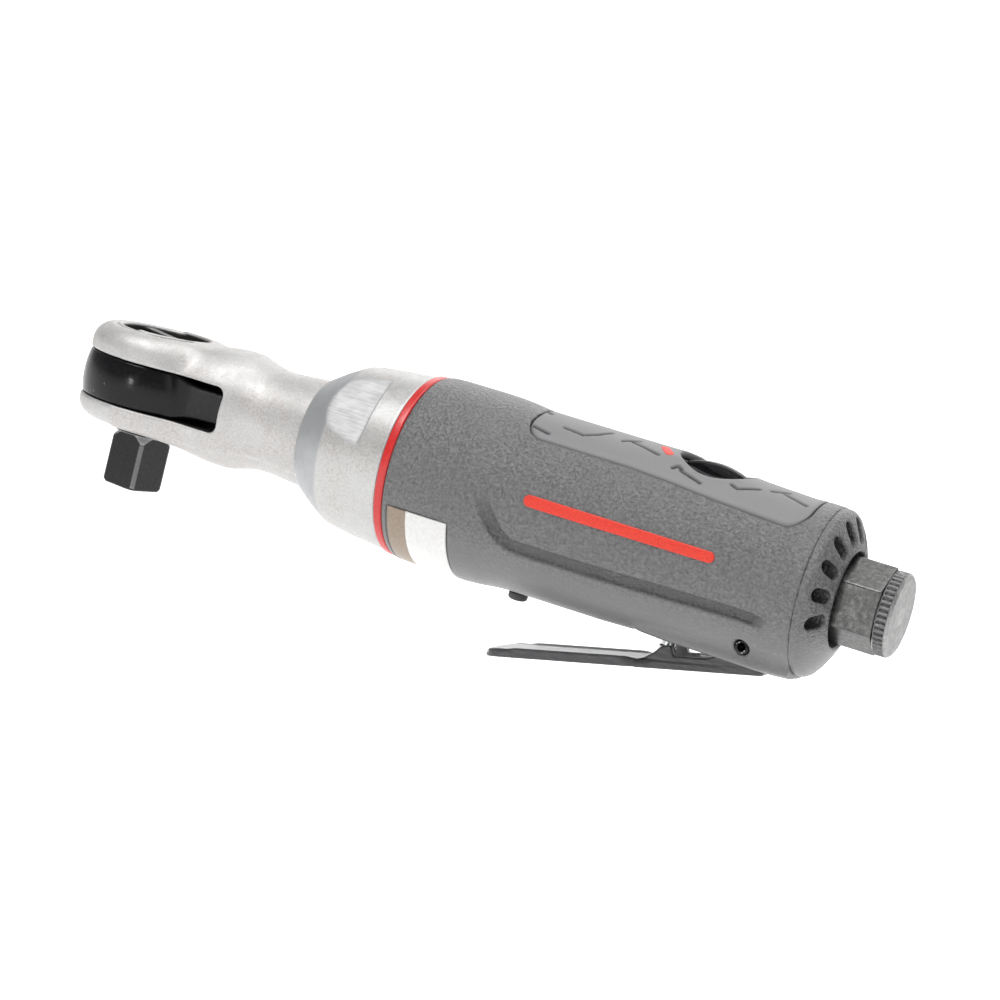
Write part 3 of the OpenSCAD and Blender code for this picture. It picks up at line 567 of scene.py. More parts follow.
# ---------------------------------------------------------------- grip panel
# Engraved dashes of each half of the panel, each a run of (station, angle from the top).
DASHES = [
    [(92.3, 31), (96.2, 34)],
    [(91.4, 6), (93.0, 9)],
    [(98.1, 23), (102.8, 25), (105.2, 19), (107, 10)],
    [(110.4, 18), (111.6, 13.5), (113.2, 10)],
    [(111.7, 14), (118.8, 21)],
    [(123.3, 29.5), (124.1, 26), (125, 28)],
    [(125.2, 29.4), (129.9, 34.2)],
    [(135.7, 25.4), (137.2, 27.5), (141.0, 19.5)],
    [(143.3, 16.5), (146.4, 9)],
    [(145.9, 14), (151.2, 20.5)],
]
RED_ARC = [(118.4, 6.5), (119.3, 11), (120.5, 15.5)]


def away_from_runs(x, side, runs):
    """Distance over the curved surface to the nearest of some runs of (station, angle)."""
    best = np.full(np.shape(x), 9.0)
    for run in runs:
        for (ax, aa), (bx, ba) in zip(run, run[1:]):
            ex, ea = bx - ax, (ba - aa) * ARC
            t = np.clip(((x - ax) * ex + (side - aa) * ARC * ea) / (ex * ex + ea * ea), 0, 1)
            best = np.minimum(best, np.hypot(x - ax - t * ex, (side - aa) * ARC - t * ea))
    return best


def panel_face(x, side):
    """Radius of the pad's face, which swells a little round the regulator opening."""
    swell = 0.7 * np.exp(-(((x - 128) / 8) ** 2)) * np.clip((30 - side) / 12, 0, 1)
    return panel_radius(x) + swell


def panel_distance(x, y, z):
    r = np.hypot(y, z)
    side = np.degrees(np.arctan2(np.abs(y), z))
    face = r - panel_face(x, side)
    face = face + 0.5 * np.clip(1 - (away_from_runs(x, side, DASHES) / 0.52) ** 2, 0, 1)
    d = smax(face, panel_plan(x, y, -0.3), 0.6)
    d = smax(d, shell_radius(x) - 1.1 - r, 0.2)
    return cut(d, np.hypot(x - REGULATOR_X, y) - REGULATOR_R - 0.1, 0.7)


def dash_shade(x, y, z):
    """Painted shade, 1 at the bottom of the engraved dashes."""
    side = np.degrees(np.arctan2(np.abs(y), z))
    return 1.6 - away_from_runs(x, side, DASHES) / 0.27


panel = skin("grip_panel_pad", panel_distance,
             (steps(90.9, 153.9, 0.25), steps(-0.84, 0.84, 0.0135), steps(16.0, 19.9, 0.3)), round_axis,
             shade=dash_shade)
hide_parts("grip_panel")
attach(panel, "housing")



def red_arc_distance(x, y, z):
    """Thin red inlay beside the regulator opening, on the near half only."""
    r = np.hypot(y, z)
    side = np.degrees(np.arctan2(-y, z))
    top = panel_face(x, side)
    plan = away_from_runs(x, side, [RED_ARC]) - 0.95
    return smax(plan, band(r, top - 0.3, top + 0.06), 0.1)


red_arc = skin("red_arc_inlay", red_arc_distance,
               (steps(116.2, 124.2, 0.16), steps(0.0, 0.46, 0.008), steps(17.9, 19.9, 0.1)), round_axis)
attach(red_arc, "housing")
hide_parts("grip_panel")

# ---------------------------------------------------------------- label, side bars, bumper, pin


def label_piece():
    """Thin film of two colours wrapped under the front collar, tan strip first."""
    turn = np.linspace(-69.4, 69.4, 140)
    stations = np.concatenate([np.linspace(68.85, 73.2, 12), np.linspace(73.2, 82.55, 24)[1:]])
    co, faces = [], []
    for lift in (-0.26, 0.0):
        for x in stations:
            for t in turn:
                r = shell_radius(x) - 0.06 + lift
                a = math.radians(180 + t)
                co.append((x, -r * math.sin(a), r * math.cos(a)))
    n, m = len(stations), len(turn)
    for layer in range(2):
        base = layer * n * m
        for i in range(n - 1):
            for j in range(m - 1):
                here = base + i * m + j
                f = [here, here + 1, here + m + 1, here + m]
                faces.append(f if layer == 0 else f[::-1])
    rim = [i * m for i in range(n)] + [(n - 1) * m + j for j in range(1, m)]
    rim += [i * m + m - 1 for i in range(n - 2, -1, -1)] + [j for j in range(m - 2, 0, -1)]
    for a, b in zip(rim, rim[1:] + rim[:1]):
        faces.append([a, b, b + n * m, a + n * m])
    return mesh_object("label_film_blank", co, faces)


label = label_piece()
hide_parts("label_plate")
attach(label, "housing")


BAR_RISE = 8  # degrees from straight out to the middle of each side bar


def bars_distance(x, y, z):
    r = np.hypot(y, z)
    up = np.degrees(np.arctan2(z, np.abs(y)))
    v = (up - BAR_RISE) * ARC
    plan = rounded_box(x - 118.5, v, 20.7, 1.2, 1.18)
    return smax(smax(plan, r - shell_radius(x) - 0.33, 0.25), shell_radius(x) - 0.2 - r, 0.05)


for side in (1, -1):
    turn = math.radians(90 - BAR_RISE) * side
    grid = steps(97.2, 139.8, 0.3), steps(turn - 0.09, turn + 0.09, 0.009), steps(17.3, 19.7, 0.12)
    bar = skin("side_bar_near" if side > 0 else "side_bar_far", bars_distance, grid, round_axis)
    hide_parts("side_accents")
    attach(bar, "housing")

# ---------------------------------------------------------------- exhaust cap and inlet
CAP_OUTLINE = [(158.5, 8.2), (158.5, 13.4), (157.2, 13.6), (153.4, 13.6), (153.4, 15.15),
               (157.28, 15.15), (157.28, 17.5), (158.6, 17.35), (159.5, 16.75), (160.5, 15.4),
               (161.5, 13.6), (162.4, 11.7), (162.75, 10.8), (162.78, 10.3), (162.5, 10.02),
               (160.45, 10.0), (160.45, 8.2)]
VENTS, VENT_PITCH, VENT_PHASE = 11, 22.5, -5.0


def cap_distance(x, y, z):
    r = np.hypot(y, z)
    d = polygon(x, r, CAP_OUTLINE)
    turn = np.degrees(np.arctan2(-y, z)) - VENT_PHASE
    which = np.clip(np.round(turn / VENT_PITCH), -(VENTS // 2), VENTS // 2)
    off = np.radians(turn - which * VENT_PITCH)
    u, v = r * np.cos(off), r * np.sin(off)
    slot = np.hypot(np.maximum(np.abs(u - 13.8) - 1.0, 0), v) - 1.42
    return cut(d, np.maximum(slot, 152 - x), 0.45)


# The tone kept at the cap's vertices marks the vent walls, where the composite material paints shade.
exhaust = skin("exhaust_cap_dome", cap_distance,
               (steps(153.1, 163.1, 0.26), steps(-17.8, 17.8, 0.26), steps(-17.8, 17.8, 0.26)),
               shade=lambda x, y, z: -polygon(x, np.hypot(y, z), CAP_OUTLINE) / 0.5 - 0.4)
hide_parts("exhaust_cap")
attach(exhaust, "housing")

HEX_SEAT, HEX_END, HEX_HALF = 160.5, 171.0, 8.0


def bushing_distance(x, y, z):
    r = np.hypot(y, z)
    faces = [np.abs(turn_x(y, z, a)[0]) - HEX_HALF for a in (0, 60, 120)]
    hexagon = smax(smax(faces[0], faces[1], 0.3), faces[2], 0.3)
    d = smax(hexagon, band(x, HEX_SEAT, HEX_END), 0.25)
    # Turned chamfers at both ends of the hexagon.
    d = smax(d, 0.75 * (r - 9.05 - (HEX_END - x) * 1.1), 0.15)
    d = smax(d, 0.8 * (r - 8.75 - (x - HEX_SEAT) * 0.9), 0.15)
    d = np.minimum(d, np.maximum(r - 8.0, band(x, 147.3, HEX_SEAT + 1)))
    # Tapping thread in the bore.
    turn = np.arctan2(y, z)
    thread = 6.2 - 0.28 * (0.5 + 0.5 * np.cos(TAU * x / 1.41 - turn))
    bore = np.where(x < 158.3, 5.0, np.where(x > 169, 6.95, thread))
    return smax(d, bore - r, 0.1)


bushing = skin("inlet_bushing_hex", bushing_distance,
               (steps(146.9, 171.3, 0.25), steps(-9.6, 9.6, 0.25), steps(-9.6, 9.6, 0.25)))
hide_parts("inlet_bushing")
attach(bushing, "housing")


def knurl(x, r, turn):
    """Straight knurl round the dust cap's rim, fading out at both edges."""
    weight = np.clip((x - 171.35) / 0.25, 0, 1) * np.clip((173.5 - x) / 0.25, 0, 1) * (r > 8)
    wave = np.abs((turn * 44 / TAU) % 1 - 0.5) * 2
    return r - 0.5 * weight * np.clip(wave * 1.8 - 0.5, 0, 1)


CAP_RIM = [(171.6, 0.01), (171.6, 5.9), (169.4, 5.9), (169.4, 6.83), (171.1, 6.83), (171.1, 8.5),
           (171.35, 8.72), (171.6, 8.74), (172.4, 8.74), (173.4, 8.74), (173.55, 8.66), (173.85, 8.45),
           (174.1, 8.1), (174.16, 7.7), (174.14, 7.2), (174.14, 5.4), (174.14, 3.6), (174.14, 1.8),
           (174.14, 0.01)]
dust_cap = turned_piece("dust_cap_knurled", CAP_RIM, 0.1, 440, knurl, closed=False, parts=3)
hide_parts("dust_cap")
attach(dust_cap, "cap")

# ---------------------------------------------------------------- throttle lever
LEVER_TILT = math.radians(13.5)
ear_top = soft_curve([(-60, -5.4), (-27.5, -5.2), (-25, -4.7), (-22.5, -4.1), (-20.5, -3.0), (-18.8, -1.6),
                      (-17.6, -1.3), (-16.6, -1.4), (-16.2, -3.4), (-9, -3.4), (-5, -2.0), (-3, 0),
                      (3, 2.0)], 0.3)
lever_half = soft_curve([(-60, 7.0), (-26, 7.0), (-21, 5.4), (5, 5.4)], 1.0)
lever_flange = soft_curve([(-60, -6), (-55, -5.6), (-50, -3.8), (-26, -3.7), (-24.4, -4.4), (5, -6)], 0.6)


def lever_axes(x, z):
    """Place along the lever and above it, from the pin."""
    dx, dz = x - LEVER_PIN[0], z - LEVER_PIN[1]
    return (dx * math.cos(LEVER_TILT) + dz * math.sin(LEVER_TILT),
            dz * math.cos(LEVER_TILT) - dx * math.sin(LEVER_TILT))


def lever_distance(x, y, z):
    u, w = lever_axes(x, z)
    plan = np.where(u < -30, rounded_box(u + 30, y, 27.7, 7.0, 4.2), np.abs(y) - lever_half(u))
    plan = np.maximum(plan, u - 3)
    # Flat plate with its long edges turned up a little.
    lift = 0.10 * np.maximum(np.abs(y) - 4.0, 0) ** 1.5 * (u < -24)
    plate = smax(band(w - lift, -6.08, -4.55), plan, 0.7)
    edge = smax(np.maximum(plan, -plan - 1.15), band(w, -6.0, -3.85), 0.5)
    edge = smax(edge, w - lever_flange(u), 0.5)
    d = smin(plate, edge, 0.5)
    ear_side = np.abs(np.abs(y) - 4.6) - 0.78
    ear = smax(ear_side, w - ear_top(u), 0.35)
    ear = smax(ear, -w - 6.08, 0.5)
    ear = np.maximum(ear, band(u, -27, 3.0))
    boss = smax(ear_side, np.hypot(u, w) - 3.0, 0.3)
    d = smin(d, np.minimum(ear, boss), 0.35)
    d = smax(d, u - 2.95, 0.4)
    return cut(d, np.hypot(u, w) - 1.64, 0.2)


def lever_inside(x, y, z):
    """1 on the faces between the lever's flanges and ears, 0 outside. The material paints these faces as bare
    steel, brightened further as painted light.
    """
    u, w = lever_axes(x, z)
    return np.minimum((lever_half(u) - 1.0 - np.abs(y)) / 0.3, (w + 5.3) / 0.3)


def along_lever(a, b, c):
    """Grid coordinates in the lever's own axes to x, y, z."""
    return (LEVER_PIN[0] + a * math.cos(LEVER_TILT) - c * math.sin(LEVER_TILT), b,
            LEVER_PIN[1] + a * math.sin(LEVER_TILT) + c * math.cos(LEVER_TILT))


lever = skin("throttle_lever_pressing", lever_distance,
             (steps(-58.1, 3.4, 0.27), steps(-7.35, 7.35, 0.24), steps(-6.4, 3.3, 0.24)), along_lever,
             shade=lever_inside)
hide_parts("throttle_lever")
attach(lever, "lever")


def stand_along(obj, direction, spot):
    """Turns a piece that was revolved about the tool axis to a new axis through spot."""
    turn = Vector((1, 0, 0)).rotation_difference(Vector(direction)).to_matrix().to_4x4()
    lift = Matrix.Translation((0, 0, AXIS_HEIGHT * MM))
    place = Matrix.Translation(Vector(spot) * MM)
    obj.data.transform(lift @ place @ turn @ lift.inverted())
    obj.data.update()
    return obj


pin = turned_piece(
    "lever_roll_pin",
    [(-10.5, 0.86), (-10.5, 1.2), (-10.05, 1.54), (10.05, 1.54), (10.5, 1.2), (10.5, 0.86)], 0.2, 64)
stand_along(pin, (0, 1, 0), (LEVER_PIN[0], 0, LEVER_PIN[1]))
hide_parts("lever_pin")
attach(pin, "housing")

bumper = turned_piece(
    "lever_bumper_plug",
    [(-20.8, 0.01), (-20.8, 1.5), (-20.35, 2.08), (-19.2, 2.08), (-19.15, 1.5), (-16.5, 1.5), (-16.5, 0.01)],
    0.3, 72, closed=False)
stand_along(bumper, (0, 0, 1), (94.6, 0, 0))
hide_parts("lever_bumper")
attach(bumper, "housing")

stem = turned_piece(
    "valve_stem_rod",
    [(-22.25, 0.01), (-22.25, 1.45), (-21.65, 1.88), (-20.1, 1.88), (-20.0, 1.5), (-0.6, 1.5),
     (-0.45, 1.3), (-0.45, 0.01)], 0.2, 64, closed=False)
stand_along(stem, (0, 0, 1), (129, 0, 0))
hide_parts("valve_stem")
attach(stem, "valve")


def regulator_distance(x, y, z):
    u = x - REGULATOR_X
    plan = np.hypot(u, y)
    turn = np.arctan2(y, u)
    d = rounded_box(plan, z - 12.75, 7.1, 3.65, 0.5)
    d = cut(d, np.hypot(plan, z - 29.2) - 13.6, 0.5)
    fold = turn % (TAU / 8) - TAU / 16
    d = cut(d, np.maximum(np.hypot(plan * np.cos(fold) - 7.75, plan * np.sin(fold)) - 1.15, 13.9 - z), 0.4)
    grip = rounded_box(y, z - 16.6 + 0.03 * u * u, 1.5 - 0.02 * np.abs(u), 2.2, 0.6)
    grip = smax(grip, np.abs(u) - 6.4, 0.8)
    d = smin(d, np.maximum(grip, plan - 6.9), 0.9)
    d = np.maximum(d, -np.maximum(band(z, 11.2, 12.5), 6.0 - plan))
    return np.minimum(d, np.maximum(plan - 2.5, band(z, 5.1, 10)))


regulator = skin("regulator_knob_body", regulator_distance,
                 (steps(122.1, 136.9, 0.22), steps(-7.4, 7.4, 0.22), steps(4.9, 19.1, 0.22)))
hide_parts("regulator_knob")
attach(regulator, "regulator")

# ---------------------------------------------------------------- materials


class Paint:
    """Small helper that builds a procedural material in object millimetres."""

    def __init__(self, name, roughness=0.5, metallic=0.0, specular=0.5, coat=0.0, sheen=0.0):
        self.material = bpy.data.materials.new(name)
        self.material.use_nodes = True
        self.nodes = self.material.node_tree.nodes
        self.links = self.material.node_tree.links
        self.shader = self.nodes["Principled BSDF"]
        self.shader.inputs["Roughness"].default_value = roughness
        self.shader.inputs["Metallic"].default_value = metallic
        self.shader.inputs["Specular IOR Level"].default_value = specular
        self.shader.inputs["Coat Weight"].default_value = coat
        self.shader.inputs["Sheen Weight"].default_value = sheen
        where = self.nodes.new("ShaderNodeTexCoord")
        scale = self.nodes.new("ShaderNodeMapping")
        scale.inputs["Scale"].default_value = (1000, 1000, 1000)
        self.links.new(where.outputs["Object"], scale.inputs["Vector"])
        self.place = scale.outputs["Vector"]
        self.height = None

    def new(self, kind, **values):
        node = self.nodes.new(kind)
        for key, value in values.items():
            setattr(node, key, value)
        return node

    def stretch(self, x, y, z):
        node = self.new("ShaderNodeMapping")
        node.inputs["Scale"].default_value = (x, y, z)
        self.links.new(self.place, node.inputs["Vector"])
        return node.outputs["Vector"]

    def noise(self, scale, detail=3.0, rough=0.55, vector=None, distort=0.0):
        node = self.new("ShaderNodeTexNoise")
        node.inputs["Scale"].default_value = scale
        node.inputs["Detail"].default_value = detail
        node.inputs["Roughness"].default_value = rough
        node.inputs["Distortion"].default_value = distort
        self.links.new(vector or self.place, node.inputs["Vector"])
        return node.outputs["Fac"]

    def cells(self, scale, vector=None, feature="SMOOTH_F1", smooth=0.6):
        node = self.new("ShaderNodeTexVoronoi", feature=feature)
        node.inputs["Scale"].default_value = scale
        if feature == "SMOOTH_F1":
            node.inputs["Smoothness"].default_value = smooth
        self.links.new(vector or self.place, node.inputs["Vector"])
        return node.outputs["Distance"]

    def spread(self, value, low, high, out_low=0.0, out_high=1.0):
        node = self.new("ShaderNodeMapRange")
        for key, v in zip(("From Min", "From Max", "To Min", "To Max"), (low, high, out_low, out_high)):
            node.inputs[key].default_value = v
        self.links.new(value, node.inputs["Value"])
        return node.outputs["Result"]

    def ramp(self, value, stops):
        node = self.new("ShaderNodeValToRGB")
        element = node.color_ramp.elements
        element[0].position, element[0].color = stops[0][0], (*stops[0][1], 1)
        element[1].position, element[1].color = stops[-1][0], (*stops[-1][1], 1)
        for spot, colour in stops[1:-1]:
            element.new(spot).color = (*colour, 1)
        self.links.new(value, node.inputs["Fac"])
        return node.outputs["Color"]

    def over(self, base, mask, colour, amount=1.0):
        """Base with another colour laid over it where the mask is 1, at most by amount."""
        node = self.new("ShaderNodeMix", data_type="RGBA")
        sockets = {s.identifier: s for s in node.inputs}
        if amount != 1:
            mask = self.math("MULTIPLY", mask, amount)
        self.links.new(mask, sockets["Factor_Float"])
        self.links.new(base, sockets["A_Color"])
        if isinstance(colour, tuple):
            sockets["B_Color"].default_value = (*colour, 1)
        else:
            self.links.new(colour, sockets["B_Color"])
        return [s for s in node.outputs if s.identifier == "Result_Color"][0]

    def math(self, operation, a, b=0.0):
        node = self.new("ShaderNodeMath", operation=operation)
        for i, v in enumerate((a, b)):
            if isinstance(v, bpy.types.NodeSocket):
                self.links.new(v, node.inputs[i])
            else:
                node.inputs[i].default_value = v
        return node.outputs[0]

    def wear(self, low=0.52, high=0.62):
        """Mask that is 1 on worn outer edges."""
        node = self.new("ShaderNodeNewGeometry")
        return self.spread(node.outputs["Pointiness"], low, high)

    def shade(self):
        """Tone kept at the vertices of a piece, or 0 where there is none. Most pieces keep painted shade or
        painted highlight in it; the nut keeps its brushed flats.
        """
        return self.new("ShaderNodeAttribute", attribute_name="shade").outputs["Fac"]

    def crease_shade(self, high=0.48, low=0.40):
        """Mask that is 1 deep in narrow grooves and creases, where materials paint shade."""
        node = self.new("ShaderNodeNewGeometry")
        return self.spread(node.outputs["Pointiness"], high, low)

    def colour(self, value):
        self.links.new(value, self.shader.inputs["Base Color"])

    def worn(self, base, low, high, amount, edge):
        """Surface colour from a base with its worn outer edges in another."""
        self.colour(self.over(base, self.wear(low, high), edge, amount))

    def rough(self, noise, smooth, dull, high=0.7):
        """Roughness that a noise moves between a smooth and a dull value."""
        value = self.spread(noise, 0.3, high, smooth, dull)
        self.links.new(value, self.shader.inputs["Roughness"])

    def bump(self, height, distance_mm, strength=1.0):
        node = self.new("ShaderNodeBump")
        node.inputs["Strength"].default_value = strength
        node.inputs["Distance"].default_value = distance_mm * MM
        self.links.new(height, node.inputs["Height"])
        if self.height is not None:
            self.links.new(self.height, node.inputs["Normal"])
        self.height = node.outputs["Normal"]
        self.links.new(self.height, self.shader.inputs["Normal"])

    def part(self, axis):
        node = self.new("ShaderNodeSeparateXYZ")
        self.links.new(self.place, node.inputs[0])
        return node.outputs[axis]


def cast_metal():
    p = Paint("bead_blasted_cast", roughness=0.5, metallic=0.45, specular=0.4)
    fine = p.noise(3.2, 2)
    blotch = p.noise(0.11, 4, 0.62, distort=0.6)
    speck = p.noise(1.9, 2, 0.75)
    tones = [(0.25, (0.36, 0.357, 0.353)), (0.5, (0.43, 0.426, 0.422)), (0.78, (0.51, 0.506, 0.50))]
    base = p.ramp(fine, tones)
    warm = p.math("MULTIPLY", p.spread(blotch, 0.42, 0.60), p.spread(speck, 0.46, 0.60))
    base = p.over(base, warm, (0.32, 0.26, 0.225), 0.5)
    # Painted shade: the slot and bore walls are laid over near black.
    base = p.over(base, p.shade(), (0.012, 0.012, 0.0115), 0.96)
    p.worn(base, 0.54, 0.62, 0.2, (0.60, 0.60, 0.60))
    p.rough(p.noise(0.5, 3), 0.42, 0.58)
    p.bump(p.noise(2.2, 3, 0.6), 0.05, 0.5)
    p.bump(p.noise(0.35, 2), 0.08, 0.22)
    return p.material


def nut_metal():
    """Blasted nut with brushed wrench flats; the turned cone in front is made greyer with painted shade."""
    p = Paint("blasted_nut", roughness=0.45, metallic=0.55, specular=0.45)
    fine = p.noise(3.0, 2)
    blotch = p.noise(0.12, 4, 0.6, distort=0.5)
    speck = p.noise(1.7, 2, 0.75)
    tones = [(0.25, (0.37, 0.37, 0.367)), (0.5, (0.435, 0.435, 0.43)), (0.78, (0.51, 0.505, 0.50))]
    base = p.ramp(fine, tones)
    warm = p.math("MULTIPLY", p.spread(blotch, 0.44, 0.62), p.spread(speck, 0.46, 0.60))
    base = p.over(base, warm, (0.33, 0.28, 0.245), 0.5)
    # Painted shade on the front cone.
    chamfer_shade = p.math("SUBTRACT", 1.0, p.spread(p.part("X"), 49.6, 50.4))
    base = p.over(base, chamfer_shade, (0.30, 0.31, 0.32), 0.75)
    brushed = p.noise(1.0, 3, 0.6, vector=p.stretch(0.2, 3, 3))
    flat = p.ramp(brushed, [(0.3, (0.33, 0.33, 0.332)), (0.7, (0.45, 0.45, 0.452))])
    base = p.over(base, p.shade(), flat)
    # Painted shade in the nut's creases.
    base = p.over(base, p.crease_shade(0.47, 0.38), (0.15, 0.145, 0.14))
    p.worn(base, 0.56, 0.68, 0.5, (0.70, 0.70, 0.70))
    satin = p.spread(p.noise(0.5, 3), 0.3, 0.7, 0.38, 0.52)
    satin = p.math("ADD", satin, p.math("MULTIPLY", p.shade(), 0.16))
    p.links.new(satin, p.shader.inputs["Roughness"])
    p.bump(p.noise(2.0, 3, 0.6), 0.05, 0.35)
    return p.material


def composite():
    """Moulded shell with a fine leathery grain, and painted shade inside its grooves and vents."""
    p = Paint("textured_composite", roughness=0.42, specular=0.65)
    grain = p.noise(1.6, 2, 0.5)
    low_down = p.spread(p.part("Z"), 6.0, 1.5)
    fine = p.noise(3.6, 2, 0.6)
    shade = p.noise(0.08, 3)
    tones = [(0.32, (0.056, 0.056, 0.057)), (0.5, (0.092, 0.092, 0.094)), (0.68, (0.138, 0.138, 0.141))]
    base = p.ramp(grain, tones)
    base = p.over(base, low_down, (0.098, 0.098, 0.100), 0.75)
    base = p.over(base, p.spread(fine, 0.35, 0.7, 0.0, 0.35), (0.13, 0.13, 0.133))
    base = p.over(base, p.spread(shade, 0.35, 0.7, 0.0, 0.25), (0.085, 0.085, 0.087))
    # Painted shade in the side grooves and the exhaust vents, and a dark line round the label's recess.
    base = p.over(base, p.shade(), (0.020, 0.020, 0.021), 0.6)
    p.worn(base, 0.54, 0.62, 0.2, (0.22, 0.22, 0.225))
    p.rough(fine, 0.32, 0.48)
    strong = p.math("SUBTRACT", 1.0, p.math("MULTIPLY", low_down, 0.8))
    p.bump(p.math("MULTIPLY", grain, strong), 0.55, 1.0)
    p.bump(fine, 0.06, 0.5)
    return p.material


def grip_rubber():
    p = Paint("smooth_grip", roughness=0.55, specular=0.4)
    fine = p.noise(3.4, 3, 0.6)
    shade = p.noise(0.12, 3)
    base = p.ramp(fine, [(0.3, (0.165, 0.165, 0.168)), (0.7, (0.195, 0.195, 0.198))])
    base = p.over(base, p.spread(shade, 0.35, 0.7, 0.0, 0.4), (0.165, 0.165, 0.168))
    # Painted shade in the engraved dashes.
    base = p.over(base, p.shade(), (0.012, 0.012, 0.013), 0.92)
    p.worn(base, 0.54, 0.62, 0.4, (0.28, 0.28, 0.285))
    p.rough(fine, 0.46, 0.62)
    p.bump(fine, 0.04, 0.35)
    return p.material


def red_plastic():
    p = Paint("red_plastic", roughness=0.35, specular=0.5, coat=0.1)
    fine = p.noise(2.4, 3)
    base = p.ramp(fine, [(0.3, (0.40, 0.008, 0.008)), (0.7, (0.52, 0.014, 0.012))])
    p.worn(base, 0.54, 0.62, 0.4, (0.80, 0.12, 0.09))
    p.rough(fine, 0.28, 0.42)
    p.bump(p.noise(1.3, 3), 0.02, 0.4)
    return p.material


def red_marking():
    p = Paint("red_marking", roughness=0.5, specular=0.45)
    fine = p.noise(2.4, 3)
    p.colour(p.ramp(fine, [(0.3, (0.50, 0.020, 0.010)), (0.7, (0.66, 0.040, 0.018))]))
    p.rough(fine, 0.42, 0.58)
    p.bump(p.cells(1.35), 0.05, 0.4)
    return p.material


def gloss_black(name="black_oxide_gloss", rough=0.16, tint=(0.003, 0.003, 0.0035), specular=0.22):
    p = Paint(name, roughness=rough, metallic=0.0, specular=specular)
    fine = p.noise(1.2, 4, 0.6)
    base = p.ramp(fine, [(0.3, tint), (0.75, tuple(v * 1.9 for v in tint))])
    p.worn(base, 0.56, 0.68, 0.5, (0.20, 0.20, 0.205))
    p.rough(fine, rough * 0.8, rough * 1.9, 0.75)
    p.bump(p.noise(0.9, 4, 0.6), 0.02, 0.35)
    return p.material


def oxide_steel():
    """Black oxide on the drive square, a little worn on its corners, with painted highlights on its edges,
    its turned corners and the cone facets at its root.
    """
    p = Paint("black_oxide_worn", roughness=0.3, metallic=0.1, specular=0.25)
    fine = p.noise(1.5, 4, 0.6)
    base = p.ramp(fine, [(0.3, (0.005, 0.005, 0.006)), (0.75, (0.014, 0.014, 0.015))])
    # Painted highlight on the square's turned corners and root facets.
    base = p.over(base, p.shade(), (0.42, 0.42, 0.42), 0.9)
    # Worn edges, lightened strongly so that they also serve as painted edge highlights.
    p.worn(base, 0.53, 0.60, 0.9, (0.42, 0.42, 0.425))
    p.rough(fine, 0.22, 0.42, 0.75)
    p.bump(p.noise(0.8, 4, 0.6), 0.03, 0.4)
    return p.material


def dark_steel():
    p = Paint("phosphated_steel", roughness=0.36, metallic=0.9, specular=0.5)
    mottle = p.noise(1.2, 4, 0.65)
    fine = p.noise(3.8, 3, 0.6)
    tones = [(0.3, (0.045, 0.045, 0.045)), (0.5, (0.09, 0.09, 0.088)), (0.72, (0.165, 0.165, 0.16))]
    base = p.ramp(mottle, tones)
    base = p.over(base, p.spread(fine, 0.4, 0.7, 0.0, 0.4), (0.13, 0.13, 0.13))
    p.worn(base, 0.53, 0.62, 0.55, (0.42, 0.42, 0.41))
    p.rough(fine, 0.26, 0.42)
    p.bump(fine, 0.03, 0.4)
    p.bump(mottle, 0.03, 0.4)
    return p.material


def plated_cap():
    p = Paint("dull_plated_cap", roughness=0.35, metallic=0.85, specular=0.5)
    cloud = p.noise(0.42, 5, 0.65, distort=0.9)
    fine = p.noise(3.2, 3, 0.6)
    face = p.spread(p.part("X"), 173.45, 173.8)
    tones = [(0.32, (0.20, 0.20, 0.198)), (0.5, (0.30, 0.30, 0.297)), (0.7, (0.46, 0.46, 0.455))]
    silver = p.ramp(cloud, tones)
    dark = p.ramp(fine, [(0.3, (0.10, 0.10, 0.10)), (0.7, (0.20, 0.20, 0.20))])
    base = p.over(dark, face, silver)
    # Painted shade in the cap's creases and knurl grooves.
    base = p.over(base, p.crease_shade(0.48, 0.40), (0.03, 0.03, 0.03))
    p.worn(base, 0.54, 0.62, 0.55, (0.62, 0.62, 0.62))
    p.rough(cloud, 0.40, 0.60)
    p.bump(cloud, 0.10, 0.5)
    p.bump(fine, 0.03, 0.4)
    return p.material


def lever_paint():
    p = Paint("lever_satin", roughness=0.36, metallic=0.3, specular=0.4)
    along = p.noise(1.0, 4, 0.6, vector=p.stretch(0.25, 1.6, 1.6))
    fine = p.noise(2.5, 3)
    base = p.ramp(along, [(0.3, (0.034, 0.034, 0.036)), (0.7, (0.062, 0.062, 0.064))])
    # Bare steel on the inner faces, painted brighter still to stand in for light, since these faces sit in
    # shade.
    bare_steel_and_painted_light = p.ramp(along, [(0.3, (0.66, 0.66, 0.66)), (0.7, (0.84, 0.84, 0.84))])
    base = p.over(base, p.shade(), bare_steel_and_painted_light, 0.85)
    p.worn(base, 0.53, 0.62, 0.75, (0.34, 0.34, 0.345))
    p.rough(fine, 0.28, 0.42)
    p.bump(along, 0.03, 0.4)
    return p.material


def machined(name, low, high, rough=(0.25, 0.42), axis_stretch=(0.25, 2.2, 2.2), metallic=0.9):
    """Turned or ground metal with fine tool lines."""
    p = Paint(name, roughness=0.35, metallic=metallic, specular=0.5)
    lines = p.noise(1.2, 4, 0.65, vector=p.stretch(*axis_stretch))
    cloud = p.noise(0.2, 3)
    base = p.ramp(lines, [(0.3, low), (0.72, high)])
    base = p.over(base, p.spread(cloud, 0.4, 0.7, 0.0, 0.35), tuple(v * 0.75 for v in low))
    p.worn(base, 0.54, 0.64, 0.6, tuple(min(1, v * 1.25) for v in high))
    p.rough(lines, *rough)
    p.bump(lines, 0.02, 0.5)
    return p.material


